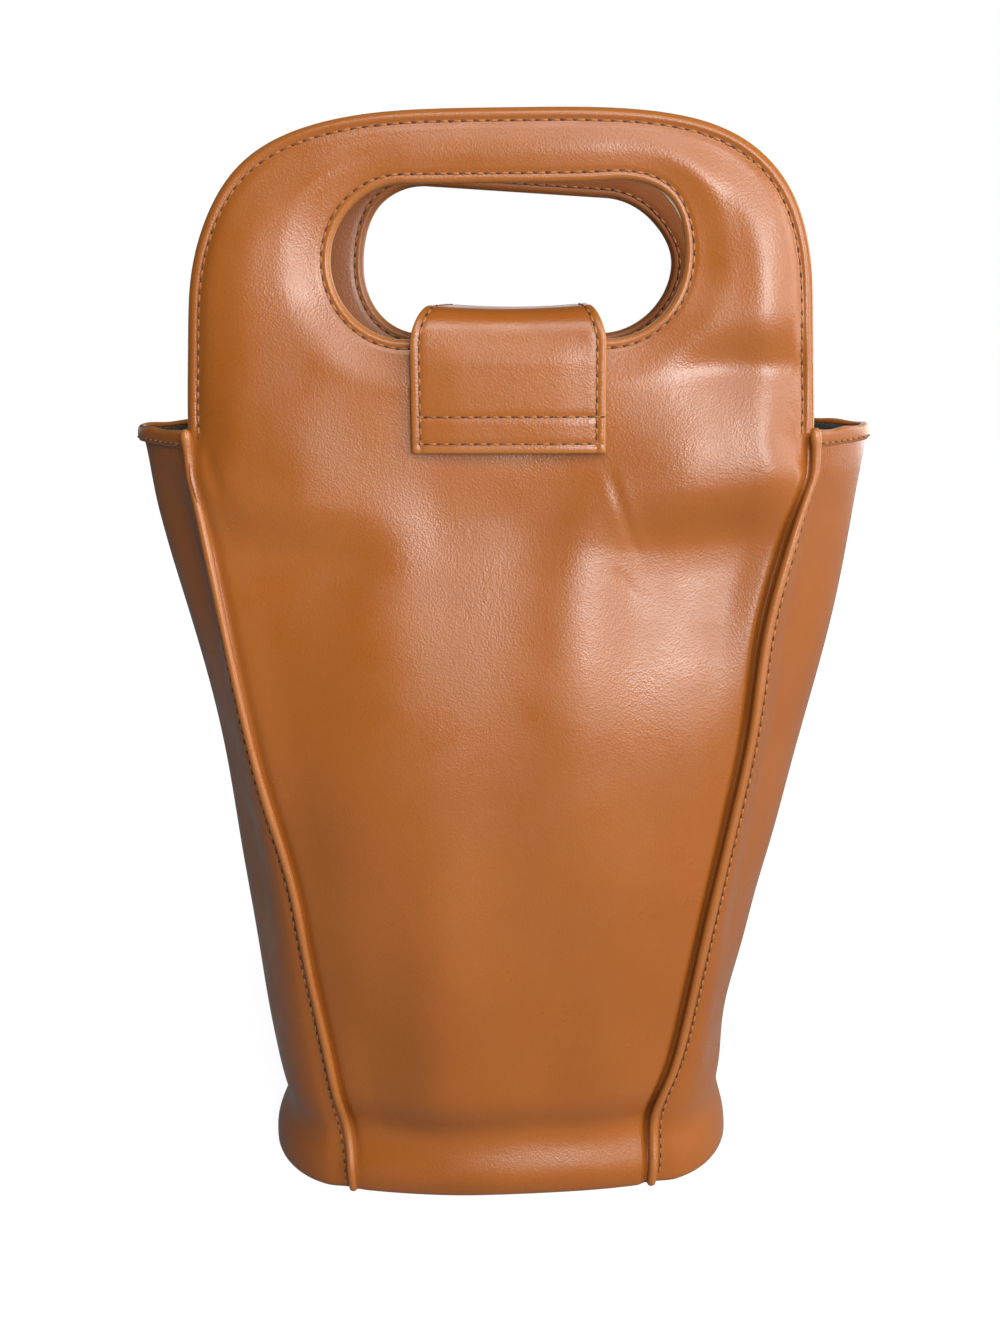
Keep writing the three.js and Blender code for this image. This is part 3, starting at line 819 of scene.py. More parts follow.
front_hide = Hide(
    name="front", side=1.0, seed=11, belly=10.2, seams=(0.8, 4.0),
    bends=(Bend(267.0, 12.0, 3.6, 52.0, 0.8), Bend(273.0, 8.0, 4.6, 40.0, 4.2)),
    dents=(
        Dent(82.0, 332.0, 26.0, 9.0, 1.1),
        Dent(82.0, 316.0, 30.0, 7.0, -1.5),
        Dent(-78.0, 304.0, 32.0, 34.0, 1.8),
        Dent(-98.0, 346.0, 18.0, 40.0, 2.0),
        Dent(-70.0, 345.0, 11.0, 36.0, -0.9),
        Dent(97.0, 346.0, 18.0, 44.0, 1.5),
        Dent(72.0, 352.0, 12.0, 36.0, -1.1),
    ),
    folds=(
        Fold(-2.0, 17.0, 285.0, 80.0, -1.7),
        Fold(33.0, 16.0, 288.0, 110.0, 0.8),
        Fold(-42.0, 20.0, 280.0, 110.0, 0.4),
    ),
    creases=(
        Crease((38.0, 280.0), (50.0, 250.0), 0.4, 1.4),
        Crease((42.0, 246.0), (50.0, 236.0), 0.3, 1.4),
        Crease((-101.0, 289.0), (-97.0, 272.0), 0.4, 2.0),
        Crease((101.0, 290.0), (104.0, 280.0), 0.6, 1.7),
    ),
)
back_hide = Hide(
    name="back", side=-1.0, seed=23, belly=6.5, seams=(2.4, 2.4),
    bends=(Bend(258.0, 14.0, 2.4, 50.0, 1.0), Bend(262.0, 8.0, 2.0, 45.0, 1.2)),
    dents=(Dent(75.0, 320.0, 25.0, 8.0, -1.0),),
    folds=(
        Fold(-12.0, 9.0, 280.0, 100.0, -1.0),
        Fold(28.0, 11.0, 282.0, 120.0, 0.7),
        Fold(-45.0, 13.0, 275.0, 140.0, 0.6),
    ),
    creases=(
        Crease((-60.0, 262.0), (-35.0, 240.0), 0.6, 2.6),
        Crease((-101.0, 289.0), (-97.0, 272.0), 1.0, 1.7),
        Crease((101.0, 289.0), (97.0, 274.0), 0.9, 1.7),
    ),
)
HIDES = (front_hide, back_hide)
print("marks on the front", len(front_hide.dents + front_hide.folds + front_hide.creases))

# %% [markdown]
# ### Making the hides
#
# A hide replaces two measured pieces, the panel and the handle, because it is one piece of leather.

# %% Hides
WEAR_DEPTH = 0.9


def hide_wear(x, z):
    """Lighter leather where it is stretched over an edge."""
    return np.maximum(
        0.75 * np.exp(-hole_distance(x, z).clip(0.0) / WEAR_DEPTH),
        0.5 * np.exp(-rim_distance(x, z) / WEAR_DEPTH) * (z > MOUTH - 2.0),
    )


def make_hide(hide):
    """A whole hide with its thickness."""
    x, z = pattern.T
    skin, faces = thicken(lay_hide(hide, x, z), pattern_faces, LEATHER)
    wear = np.tile(hide_wear(x, z), 2)
    piece = add_piece(f"{hide.name}_hide", skin, faces, tan_leather, wear)
    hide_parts(f"{hide.name}_panel", f"{hide.name}_handle")
    return piece


def bend_with_handle(piece):
    """The piece's placement, baked into its mesh."""
    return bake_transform(piece)


for hide in HIDES:
    piece = bend_with_handle(make_hide(hide))
    print(piece.name, len(piece.data.polygons), "faces")

# %% [markdown]
# ## Handle facings
#
# The inside of each handle is covered with a second piece of leather, sewn to the hide along both edges.
# It uses the same pattern from just below the mouth line upwards. Its rolled edges meet those of the hide
# in the middle of the handle's thickness, so the two read as one padded grip.

# %% Facings
FACING_FOOT, FACING_DEPTH, FACING_LEATHER = 278.0, 4.8, 1.0
facing_pattern, facing_faces = hide_pattern(np.linspace(FACING_FOOT, MOUTH, 8))


def lay_facing(hide, x, z, lift=0.0):
    """Pattern points on the inner side of a handle."""
    rim, hole = rim_distance(x, z), hole_distance(x, z)
    height = -on_handle(z) * (edge_roll(rim) + 0.4 * bell(rim, RIM_STITCH, 0.8))
    height -= edge_roll(hole) + 0.4 * bell(hole, HOLE_STITCH, 0.75)
    height += 0.35 * ease((rim - 3.4) / 9.0) * ease((hole - 2.2) / 8.0)
    y = -(half_depth(z) - FACING_DEPTH - height - lift)
    aside, above = drift(hide, x, z)
    return settle(np.stack([(x + aside) * hide.side, y * hide.side, z + above], axis=1))


for hide in HIDES:
    x, z = facing_pattern.T
    skin, faces = thicken(lay_facing(hide, x, z), facing_faces[:, ::-1], FACING_LEATHER)
    piece = add_piece(f"{hide.name}_facing", skin, faces, inner_leather, np.tile(hide_wear(x, z), 2))
    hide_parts(f"{hide.name}_handle_facing")
    bend_with_handle(piece)
    print(piece.name, len(piece.data.polygons), "faces")

# %% [markdown]
# ## Gussets
#
# A gusset starts at the front seam, swings out to a fold and comes back to the back seam. At the base it
# is a half ellipse around the bottle. Towards the mouth it narrows to a rounded fold, as a paper bag does.
# The grid runs from seam to seam and from floor to mouth. Near the seams the leather dips under the welt,
# a furrow runs round above the base board, and the right end of the base is turned back a little.

# %% Gussets
GUSSET_TOP = 291.6
FOLD_ROUND = 0.25
GUSSET_COLUMNS = 91
END_TURN = {-1: 0.0, 1: 3.0}
END_TURN_HEIGHT = 55.0
GUSSET_SEED = {-1: 31, 1: 47}
SIDE_WORD = {-1: "left", 1: "right"}
gusset_rows = np.concatenate([FOOT_ROWS, np.linspace(7.0, GUSSET_TOP, 130)])


def seam_point(side, end, z):
    """The seam of a gusset with the front hide (end -1) or the back hide (end 1)."""
    hide = front_hide if end < 0 else back_hide
    x = pattern_half(z) * side * hide.side
    return lay_hide(hide, x, z, relief=False)


def lay_gusset(side, columns, rows):
    """A grid of points, row by row, from the front seam to the back seam."""
    sweep = np.sin(np.linspace(-0.5 * np.pi, 0.5 * np.pi, columns))
    arc = np.sqrt(np.maximum(1.0 - sweep**2, 0.0))
    fold = np.hypot(1.0, FOLD_ROUND) - np.hypot(sweep, FOLD_ROUND)
    fold = fold / (np.hypot(1.0, FOLD_ROUND) - FOLD_ROUND)
    front, back = seam_point(side, -1, rows), seam_point(side, 1, rows)
    share = (sweep[None, :] + 1.0) / 2.0
    rise = np.clip(rows / MOUTH, 0.0, 1.0)[:, None]
    reach = arc[None, :] * (1.0 - rise) + fold[None, :] * rise
    tip = (fold_half(rows) + swell(rows, FOLD_SWELLS[side])) * side
    middle = 0.5 * (front[:, 0] + back[:, 0])
    x = front[:, :1] * (1.0 - share) + back[:, :1] * share + (tip - middle)[:, None] * reach
    y = front[:, 1:2] * (1.0 - share) + back[:, 1:2] * share
    y = y + END_TURN[side] * arc[None, :] * bell(rows, 0.0, END_TURN_HEIGHT)[:, None]
    z = rows[:, None] + np.zeros_like(x)
    return np.stack([x, y, z], axis=2).reshape(-1, 3)


def gusset_relief(side, columns, rows):
    """Height of the gusset leather over the plain shape, row by row."""
    share = np.linspace(-1.0, 1.0, columns)[None, :]
    z = rows[:, None]
    seam = (1.0 - np.abs(np.sin(0.5 * np.pi * share))) * 55.0
    height = -1.2 * np.exp(-((seam / 1.6) ** 2)) - edge_roll(z, FOOT_ROLL)
    height = height + 0.5 * bell(z, 9.0, 8.0) - 1.1 * bell(z, 25.0 + 2.5 * np.sin(3.0 * share), 8.0)
    calm = ease((seam - 1.0) / 14.0) * ease((z - 12.0) / 40.0) * ease((GUSSET_TOP - z) / 30.0)
    height = height + 1.2 * calm * waves(share * 60.0, z, GUSSET_SEED[side])
    hollow = bell(np.abs(share), 0.5, 0.24) * ease((z - 60.0) / 90.0) * ease((GUSSET_TOP - z) / 60.0)
    return (height - 1.6 * hollow).ravel()


def gusset_skin(side, columns, rows):
    """Points and faces of a gusset with its relief."""
    points = lay_gusset(side, columns, rows)
    faces = grid_faces(len(rows), columns)
    if side < 0:
        faces = faces[:, ::-1]
    points = points + normals(points, faces) * gusset_relief(side, columns, rows)[:, None]
    points[:, 2] = np.maximum(points[:, 2], 0.0)
    return points, faces


def make_gusset(side):
    """A gusset with its thickness."""
    skin, faces = thicken(*gusset_skin(side, GUSSET_COLUMNS, gusset_rows), LEATHER)
    piece = add_piece(f"{SIDE_WORD[side]}_gusset_leather", skin, faces, tan_leather)
    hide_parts(f"{SIDE_WORD[side]}_gusset")
    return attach(piece, "body")


for side in (-1, 1):
    piece = make_gusset(side)
    print(piece.name, len(piece.data.polygons), "faces")

# %% [markdown]
# ## Gusset hems
#
# The top of each gusset is bound with a strip of leather folded over it. The strip is a small U-shaped
# section carried along the top of the gusset. It ripples a little, and its turned rim is worn lighter. A
# point of the section is a distance out from the gusset and a height over the mouth.

# %% Hems
HEM_OUTSIDE = [(-0.1, -5.4), (0.45, -5.2), (0.8, -4.4), (1.0, -3.0), (0.95, -1.5), (0.7, -0.5), (0.2, 0.2)]
HEM_OVER = [(-0.5, 0.45), (-1.2, 0.45), (-1.8, 0.15), (-2.1, -0.4)]
HEM_INSIDE = [(-2.1, -1.0), (-1.7, -1.4), (-0.8, -1.5), (-0.75, -3.2), (-0.7, -5.2)]
hem_profile = np.array(HEM_OUTSIDE + HEM_OVER + HEM_INSIDE)


def level_normals(line, side):
    """Outward normals of a level line that runs from the front seam to the back seam."""
    along = np.gradient(line[:, :2], axis=0)
    along /= np.linalg.norm(along, axis=1, keepdims=True)
    return np.stack([along[:, 1], -along[:, 0]], axis=1) * side


def hem_line(side, spare):
    """The top of a gusset in even steps, without some spare steps at each seam."""
    return evenly(lay_gusset(side, 241, np.array([MOUTH])), 121)[spare:-spare]


def make_hem(side):
    """A hem, closed at both ends."""
    top = hem_line(side, 1)
    out = level_normals(top, side)
    ripple = 0.25 * np.sin(np.arange(len(top)) * 0.23 + side)
    rows = []
    for off, rise in hem_profile:
        level = top[:, 2] + rise + ripple * (rise > -1.0)
        rows.append(np.concatenate([top[:, :2] + out * off, level[:, None]], axis=1))
    points = np.stack(rows, axis=1).reshape(-1, 3)
    faces = tube_faces(len(top), len(hem_profile))
    if side > 0:
        faces = faces[:, ::-1]
    wear = np.tile(0.45 * bell(hem_profile[:, 1], 0.4, 0.8), len(top))
    piece = add_piece(f"{SIDE_WORD[side]}_gusset_hem", points, faces, edge_leather, wear)
    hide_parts(f"{SIDE_WORD[side]}_hem")
    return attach(piece, "body")


for side in (-1, 1):
    print(make_hem(side).name, "made")

# %% [markdown]
# ## Welts
#
# A welt is a narrow strip of leather folded in half and caught in the seam between a hide and a gusset, so
# that a round bead stands out along the seam. Each is a tube that follows the seam up from the floor, round
# the roll over the base board. It swells a little where the seam was pulled less tight, and its upper end
# thickens into a small knob at the mouth.

# %% Welts
WELT_RADIUS = 1.65
WELT_SIDES = 14
WELT_FOOT = [1.0, 1.2, 1.7, 2.6]
WELT_KNOB = [291.0, 292.4, 293.4, 294.1, 294.5, 294.7]


def make_welt(side, end):
    """The welt of one seam, rounded off at both ends."""
    word = f"{'front' if end < 0 else 'back'}_{SIDE_WORD[side]}"
    z = np.concatenate([WELT_FOOT, np.linspace(4.0, 289.5, 169), WELT_KNOB])
    seam = seam_point(side, end, np.clip(z, 0.0, MOUTH))
    slack = 0.1 * np.sin(z / 17.0 + side) + 0.07 * np.sin(z / 7.3 + end)
    radius = WELT_RADIUS + slack + 0.35 * bell(z, 291.5, 2.5)
    radius[:4] *= [0.3, 0.6, 0.85, 0.96]
    radius[-5:] *= [1.0, 0.93, 0.78, 0.55, 0.25]
    middle = seam[:, :2] + np.array([0.35 * side, 0.95 * end])
    middle[:, 1] += 0.8 * end * foot_relief(z)
    angle = np.linspace(0.0, 2.0 * np.pi, WELT_SIDES, endpoint=False)
    ring = np.stack([np.cos(angle), np.sin(angle)], axis=1)
    points = [
        np.concatenate([c + ring * r, np.full((WELT_SIDES, 1), h)], axis=1)
        for c, r, h in zip(middle, radius, z)
    ]
    faces = tube_faces(len(z), WELT_SIDES)
    wear = np.repeat(0.18 + 0.25 * bell(z, 292.5, 3.0), WELT_SIDES)
    piece = add_piece(f"{word}_piping", np.concatenate(points), faces, edge_leather, wear)
    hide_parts(f"{word}_welt")
    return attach(piece, "body")


for side in (-1, 1):
    for end in (-1, 1):
        print(make_welt(side, end).name, "made")

# %% [markdown]
# ## Lining and base
#
# Inside, the bag is lined with a dark short-pile cloth sewn into a tube. Each level of the tube is the
# outline of the bag, moved in by the thickness of the leather. At the four seams it keeps further off and
# leaves room for the turned-in edges. The base is a leather sole, a board and a cloth pad on top of it.

# %% Lining and base
LINING, LINING_INSET, LINING_SLACK = 0.8, 2.4, 5.0
BASE_LEVEL = 12.0


def outline(z, inset, slack=0.0, columns=41):
    """The closed outline of the bag at a height, moved in by an inset and more, by slack, at the seams."""
    level = np.array([z])
    x = np.linspace(-1.0, 1.0, columns) * pattern_half(level)
    front = lay_hide(front_hide, x, np.full(columns, z))
    back = lay_hide(back_hide, x, np.full(columns, z))
    rows = np.array([z - 1.0, z, z + 1.0])
    right = gusset_skin(1, columns, rows)[0][columns:2 * columns]
    left = gusset_skin(-1, columns, rows)[0][columns:2 * columns][::-1]
    loop = np.concatenate([front[:-1], right[:-1], back[:-1], left[:-1]])
    loop[:, 2] = z
    for corner in loop[::columns - 1, :2].copy():
        away = np.linalg.norm(loop[:, :2] - corner, axis=1)
        loop[:, 1] -= np.sign(corner[1]) * slack * bell(away, 0.0, 8.0)
    along = np.roll(loop, -1, axis=0) - np.roll(loop, 1, axis=0)
    inward = np.stack([-along[:, 1], along[:, 0], np.zeros(len(loop))], axis=1)
    return loop + inset * inward / np.linalg.norm(inward, axis=1, keepdims=True)


def make_lining():
    """The lining, a little wavy, from the base to the hems."""
    levels = np.concatenate([[6.0, 8.0], np.linspace(11.0, GUSSET_TOP, 95)])
    insets = [LINING_INSET + 0.25 * math.sin(z / 19.0) for z in levels]
    points = np.concatenate([outline(z, inset, LINING_SLACK) for z, inset in zip(levels, insets)])
    columns = len(points) // len(levels)
    faces = grid_faces(len(levels), columns, closed=True)[:, ::-1]
    skin, faces = thicken(points, faces, LINING)
    piece = add_piece("lining_tube", skin, faces, lining_cloth)
    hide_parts("front_lining", "back_lining", "left_lining", "right_lining")
    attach(piece, "body")
    return piece


def plate(name, inset, bottom, top, crown, finish):
    """A flat piece of the base with rounded edges and a slightly crowned top."""
    rows = [(share, bottom) for share in (0.02, 0.5, 0.985)]
    rows += [(1.0, bottom + share * (top - bottom)) for share in (0.3, 0.7)] + [(0.985, top)]
    rows += [(share, top + crown * (1.0 - share**2)) for share in (0.8, 0.6, 0.4, 0.2, 0.02)]
    edge = outline(BASE_LEVEL, inset)
    points = [
        np.concatenate([edge[:, :2] * share, np.full((len(edge), 1), height)], axis=1)
        for share, height in rows
    ]
    faces = tube_faces(len(rows), len(edge))
    return add_piece(name, np.concatenate(points), faces, finish)


lining = make_lining()
sole = plate("base_sole", 3.5, 0.0, LEATHER, 0.0, tan_leather)
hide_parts("base_leather")
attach(sole, "body")
pad = plate("base_lining_pad", 4.0, 5.2, 6.0, 0.6, lining_cloth)
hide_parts("base_lining")
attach(pad, "body")
print("lining", len(lining.data.polygons), "faces; sole and pad made")

# %% [markdown]
# ## The tab
#
# The tab is one strap. It is sewn to the outside of the back handle, runs over both hand-holes' lower
# edges and ends in a flap that covers the snap. Its middle line lies in the plane across the bag: up the
# back, over, and down the front. Along that line a flat section with rolled edges is carried. The strap is
# cut into two meshes in the middle of the bridge, because a mesh can bend between two bodies only.

# %% Tab
TAB_MIDDLE, TAB_HALF = 4.0, 33.5
BEND_RADIUS, BEND_HEIGHT = 10.8, 325.7
FLAP_FACE, FLAP_END = -41.7, 286.5
ANCHOR_FACE, ANCHOR_END = 37.7, 297.5
SPLIT = -2.0
END_STITCH, BAND_STITCH, SIDE_STITCH, ANCHOR_STITCH = 3.4, 12.6, 3.2, 18.0
TAB_ROLL, UNDER_ROLL = 1.2, 1.0
TAB_NARROWING, NARROW_START, NARROW_SPAN = 6.0, 36.0, 26.0
BRIDGE_START, BRIDGE_END, BRIDGE_FADE, BRIDGE_SAG = 30.0, 20.0, 12.0, 1.3
STRAP_THICKNESS, FLAP_EXTRA = 2.4, 0.8
TURN_STEPS = 25


def tab_line():
    """The outer face of the strap, as (y, z), from the end of the flap over to the end of the anchor."""
    turn = np.linspace(0.0, 0.5 * np.pi, TURN_STEPS)
    front = FLAP_FACE + BEND_RADIUS
    back = ANCHOR_FACE - BEND_RADIUS
    over, down = BEND_RADIUS * np.sin(turn), BEND_RADIUS * np.cos(turn)
    near = np.stack([front - down, BEND_HEIGHT + over], axis=1)
    far = np.stack([back + over, BEND_HEIGHT + down], axis=1)
    return np.concatenate([[[FLAP_FACE, FLAP_END]], near, far, [[ANCHOR_FACE, ANCHOR_END]]])


TAB_LINE = tab_line()
TAB_STEPS = run_lengths(TAB_LINE)
TAB_LENGTH = TAB_STEPS[-1]


def tab_place(s):
    """Places on the strap's outer face, s millimetres from the end of the flap."""
    return np.stack([np.interp(s, TAB_STEPS, TAB_LINE[:, k]) for k in range(2)], axis=1)


def tab_normal(s):
    """Outward normals of the strap's outer face."""
    along = tab_place(s + 0.4) - tab_place(s - 0.4)
    along /= np.linalg.norm(along, axis=1, keepdims=True)
    return np.stack([-along[:, 1], along[:, 0]], axis=1)


def tab_half(s):
    """Half the width of the strap, which narrows where it turns over the top."""
    return TAB_HALF - TAB_NARROWING * ease((s - NARROW_START) / NARROW_SPAN)


def tab_edges(s, x):
    """Distance from the nearer side and from the nearer end of the strap."""
    return np.maximum(tab_half(s) - np.abs(x), 0.0), np.minimum(s, TAB_LENGTH - s)


def tab_relief(s, x):
    """Height of the strap's outer face over its line: rolled edges, stitch grooves and a soft crown."""
    edge, end = tab_edges(s, x)
    height = -edge_roll(edge, TAB_ROLL) - edge_roll(end, TAB_ROLL)
    height -= 0.35 * bell(edge, SIDE_STITCH, 0.7) + 0.35 * bell(end, END_STITCH, 0.7)
    height -= 0.4 * bell(s, BAND_STITCH, 0.8) * ease(edge - SIDE_STITCH)
    over = ease((s - BRIDGE_START) / BRIDGE_FADE) * ease((TAB_LENGTH - BRIDGE_END - s) / BRIDGE_FADE)
    sag = BRIDGE_SAG * over * (1.0 - (x / tab_half(s)) ** 2)
    return height + 0.5 * ease((edge - 3.0) / 14.0) * (1.0 - over) - sag


def tab_thickness(s):
    """The flap carries a board and a lining, so it is thicker than the strap."""
    return STRAP_THICKNESS + FLAP_EXTRA * ease((44.0 - s) / 6.0)


def lay_tab(s, x, lift=0.0, under=False):
    """Points on the strap's outer face, or on its underside."""
    height = tab_relief(s, x) + lift
    if under:
        edge, end = tab_edges(s, x)
        sag = tab_relief(s, x) + edge_roll(edge, TAB_ROLL) + edge_roll(end, TAB_ROLL)
        sag = np.minimum(sag, 0.0) * ease((s - BRIDGE_START) / BRIDGE_FADE)
        height = -tab_thickness(s) + edge_roll(edge, UNDER_ROLL) + edge_roll(end, UNDER_ROLL) + sag - lift
    spot = tab_place(s) + tab_normal(s) * height[:, None]
    return np.concatenate([(x + TAB_MIDDLE)[:, None], spot], axis=1)


print("strap", round(float(TAB_LENGTH), 1), "mm long")

# %% [markdown]
# ### Cutting the strap
#
# The mesh of a stretch of strap is a tube: at each station across the strap a ring of points goes over its
# upper side and back along its underside. The stations and points are closest together at the rolled edges
# and at the stitch lines. The flap replaces its measured leather and lining together.

# %% Tab meshes
TAB_SIDE = np.array([0.0, 0.12, 0.35, 0.7, 1.2, 1.9, 2.5, 3.2, 3.9, 4.8, 6.5])
TAB_END = np.array([0.0, 0.12, 0.35, 0.7, 1.2, 1.9, 2.6, 3.4, 4.2, 5.2])
TAB_INNER = 8.5


def tab_mesh(stations):
    """Points, faces and wear of a stretch of the strap: its upper and lower side and its two ends."""
    half = tab_half(stations)[:, None]
    inner = np.linspace(-1.0, 1.0, 25) * (half - TAB_INNER)
    x = np.concatenate([-half + TAB_SIDE, inner, half - TAB_SIDE[::-1]], axis=1)
    count, width = x.shape
    x = x.ravel()
    s = np.repeat(stations, width)
    upper = lay_tab(s, x).reshape(count, width, 3)
    lower = lay_tab(s, x, under=True).reshape(count, width, 3)[:, ::-1]
    points = np.concatenate([upper, lower], axis=1).reshape(-1, 3)
    worn = 0.7 * np.exp(-np.minimum(*tab_edges(s, x)) / WEAR_DEPTH).reshape(count, width)
    wear = np.concatenate([worn, worn[:, ::-1]], axis=1).ravel()
    return points, tube_faces(count, 2 * width), wear


split_step = float(TAB_STEPS[TURN_STEPS] + (SPLIT - (FLAP_FACE + BEND_RADIUS)))
band_steps = np.concatenate([np.linspace(6.5, 11.0, 4), [11.8, 12.6, 13.4, 14.5]])
flap_steps = np.concatenate([TAB_END, band_steps, np.linspace(16.0, split_step, 70)])
anchor_steps = np.concatenate([np.linspace(split_step, TAB_LENGTH - 6.5, 60), TAB_LENGTH - TAB_END[::-1]])

points, faces, wear = tab_mesh(flap_steps)
flap = add_piece("tab_front", points, faces, tan_leather, wear)
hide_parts("tab_flap", "tab_flap_lining")
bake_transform(flap)
points, faces, wear = tab_mesh(anchor_steps)
anchor = add_piece("tab_back", points, faces, tan_leather, wear)
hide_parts("tab_anchor", "tab_bridge")
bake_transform(anchor)
print("tab", len(flap.data.polygons), "and", len(anchor.data.polygons), "faces")

# %% [markdown]
# ## Stitches
#
# Every seam is sewn with waxed thread, about four millimetres a stitch. Placing hundreds of stitches by
# hand would be tedious, so a Geometry Nodes tree does it: it walks along a curve in equal steps and puts a
# small rounded stitch at each, turned along the curve. The same tree, shifted by half a stitch and with a
# small dark bead, puts painted shade between them where the needle holes would lie in shadow. The curves
# run along the same patterns as the skins, so the stitches sit in the grooves that were pressed for them.

# %% Stitch tree
STITCH_SOCKETS = (
    ("Geometry", "Geometry"), ("Pitch", "Float"), ("Shift", "Float"),
    ("Size", "Vector"), ("Seed", "Int"), ("Thread", "Material"),
)
SMALLEST, LARGEST = 0.9, 1.08


def stitch_tree():
    """Steps along curves by the pitch and puts a bead, scaled to the size, at each step."""
    group = bpy.data.node_groups.new("stitch_run", "GeometryNodeTree")
    inputs = {}
    for name, kind in STITCH_SOCKETS:
        socket = group.interface.new_socket(name, in_out="INPUT", socket_type=f"NodeSocket{kind}")
        inputs[name] = socket.identifier
    group.interface.new_socket("Geometry", in_out="OUTPUT", socket_type="NodeSocketGeometry")
    tree = Tree(group)
    given = tree.add("NodeGroupInput").outputs
    walk = tree.add(
        "GeometryNodeResampleCurve", {"Curve": given["Geometry"], "Length": given["Pitch"]}, mode="LENGTH"
    )
    along = tree.add("GeometryNodeInputTangent").outputs["Tangent"]
    shift = tree.add("ShaderNodeVectorMath", {"Vector": along, "Scale": given["Shift"]}, operation="SCALE")
    moved = tree.add(
        "GeometryNodeSetPosition", {"Geometry": walk.outputs["Curve"], "Offset": shift.outputs["Vector"]}
    )
    bead = tree.add("GeometryNodeMeshUVSphere", {"Segments": 8, "Rings": 6, "Radius": 0.5})
    sized = tree.add("GeometryNodeTransform", {"Geometry": bead.outputs["Mesh"], "Scale": given["Size"]})
    turned = tree.add("FunctionNodeAlignRotationToVector", {"Vector": along}, axis="X")
    vary = tree.add(
        "FunctionNodeRandomValue", {2: SMALLEST, 3: LARGEST, "Seed": given["Seed"]}, data_type="FLOAT"
    )
    placed = tree.add("GeometryNodeInstanceOnPoints", {
        "Points": moved.outputs["Geometry"],
        "Instance": sized.outputs["Geometry"],
        "Rotation": turned.outputs["Rotation"],
        "Scale": vary.outputs[1],
    })
    real = tree.add("GeometryNodeRealizeInstances", {"Geometry": placed.outputs["Instances"]})
    coated = tree.add(
        "GeometryNodeSetMaterial", {"Geometry": real.outputs["Geometry"], "Material": given["Thread"]}
    )
    tree.add("NodeGroupOutput", {"Geometry": coated.outputs["Geometry"]})
    return group, inputs


STITCH_TREE, STITCH_INPUTS = stitch_tree()
print("stitch tree takes", list(STITCH_INPUTS))

# %% [markdown]
# ### Sewing
#
# To sew a seam, its lines become a curve object, the tree runs on it as a modifier, and the result is kept
# as a plain mesh. Stitches and the painted shade of the needle holes are two meshes, one finish each.

# %% Sewing
STITCH_SIZE, HOLE_SIZE = (2.9, 0.95, 0.9), (1.9, 1.1, 0.7)
STITCH_PITCH, STITCH_LIFT = 4.1, 0.12


def sew(name, lines, finish, pitch, shift, size, seed):
    """A plain mesh of stitches along several lines of points in millimetres."""
    curve = bpy.data.curves.new(name, "CURVE")
    curve.dimensions = "3D"
    for line in lines:
        spline = curve.splines.new("POLY")
        spline.points.add(len(line) - 1)
        flat = np.concatenate([line * MM, np.ones((len(line), 1))], axis=1)
        spline.points.foreach_set("co", flat.ravel())
    guide = bpy.data.objects.new(name + "_guide", curve)
    scene.collection.objects.link(guide)
    run = guide.modifiers.new("stitches", "NODES")
    run.node_group = STITCH_TREE
    run[STITCH_INPUTS["Pitch"]] = pitch * MM
    run[STITCH_INPUTS["Shift"]] = shift * MM
    run[STITCH_INPUTS["Size"]] = [length * MM for length in size]
    run[STITCH_INPUTS["Seed"]] = seed
    run[STITCH_INPUTS["Thread"]] = finish
    bpy.context.view_layer.update()
    whole = guide.evaluated_get(bpy.context.evaluated_depsgraph_get())
    mesh = bpy.data.meshes.new_from_object(whole)
    mesh.name = name
    mesh.polygons.foreach_set("use_smooth", np.ones(len(mesh.polygons), dtype=bool))
    bpy.data.objects.remove(guide)
    piece = bpy.data.objects.new(name, mesh)
    scene.collection.objects.link(piece)
    return piece


def sew_seams(name, lines, seed, pitch=STITCH_PITCH):
    """Stitches and the painted shade of the needle holes between them."""
    sewn = sew(name + "_stitches", lines, thread, pitch, 0.0, STITCH_SIZE, seed)
    # Dark beads between the stitches: painted shade of the needle holes.
    holes = sew(name + "_needle_holes", lines, needle_hole, pitch, 0.5 * pitch, HOLE_SIZE, seed + 1)
    print(sewn.name, len(sewn.data.polygons), "faces")
    return sewn, holes


print("stitch pitch", STITCH_PITCH, "mm")

# %% [markdown]
# ### Handle seams
#
# Each handle is sewn along its outer edge and round the hand-hole, through hide and facing together, so
# the same lines show on both sides.

# %% Handle seams
def rim_path(inset):
    """A line inside the outer edge of the handle."""
    along = np.gradient(RIM_LINE, axis=0)
    along /= np.linalg.norm(along, axis=1, keepdims=True)
    line = RIM_LINE + inset * np.stack([-along[:, 1], along[:, 0]], axis=1)
    return line[line[:, 1] > MOUTH + 1.0]


def hole_path(outset):
    """A closed line around the hand-hole."""
    radius = HOLE_RADIUS + outset
    angle = np.linspace(-0.5 * np.pi, 0.5 * np.pi, 60)
    arc = np.stack([HOLE_STRAIGHT + radius * np.cos(angle), HOLE_HEIGHT + radius * np.sin(angle)], axis=1)
    other = np.stack([-HOLE_STRAIGHT - radius * np.cos(angle), HOLE_HEIGHT - radius * np.sin(angle)], axis=1)
    return evenly(np.concatenate([arc, other, arc[:1]]), 260)


for hide in HIDES:
    flat_lines = (rim_path(RIM_STITCH), hole_path(HOLE_STITCH))
    lines = [lay_hide(hide, line[:, 0], line[:, 1], STITCH_LIFT) for line in flat_lines]
    lines += [lay_facing(hide, line[:, 0], line[:, 1], STITCH_LIFT) for line in flat_lines]
    for piece in sew_seams(f"{hide.name}_handle", lines, 5):
        bend_with_handle(piece)

# %% [markdown]
# ### Body seams
#
# Beside each welt a line of stitches runs down the gusset, and each hem is sewn through near its lower
# edge.

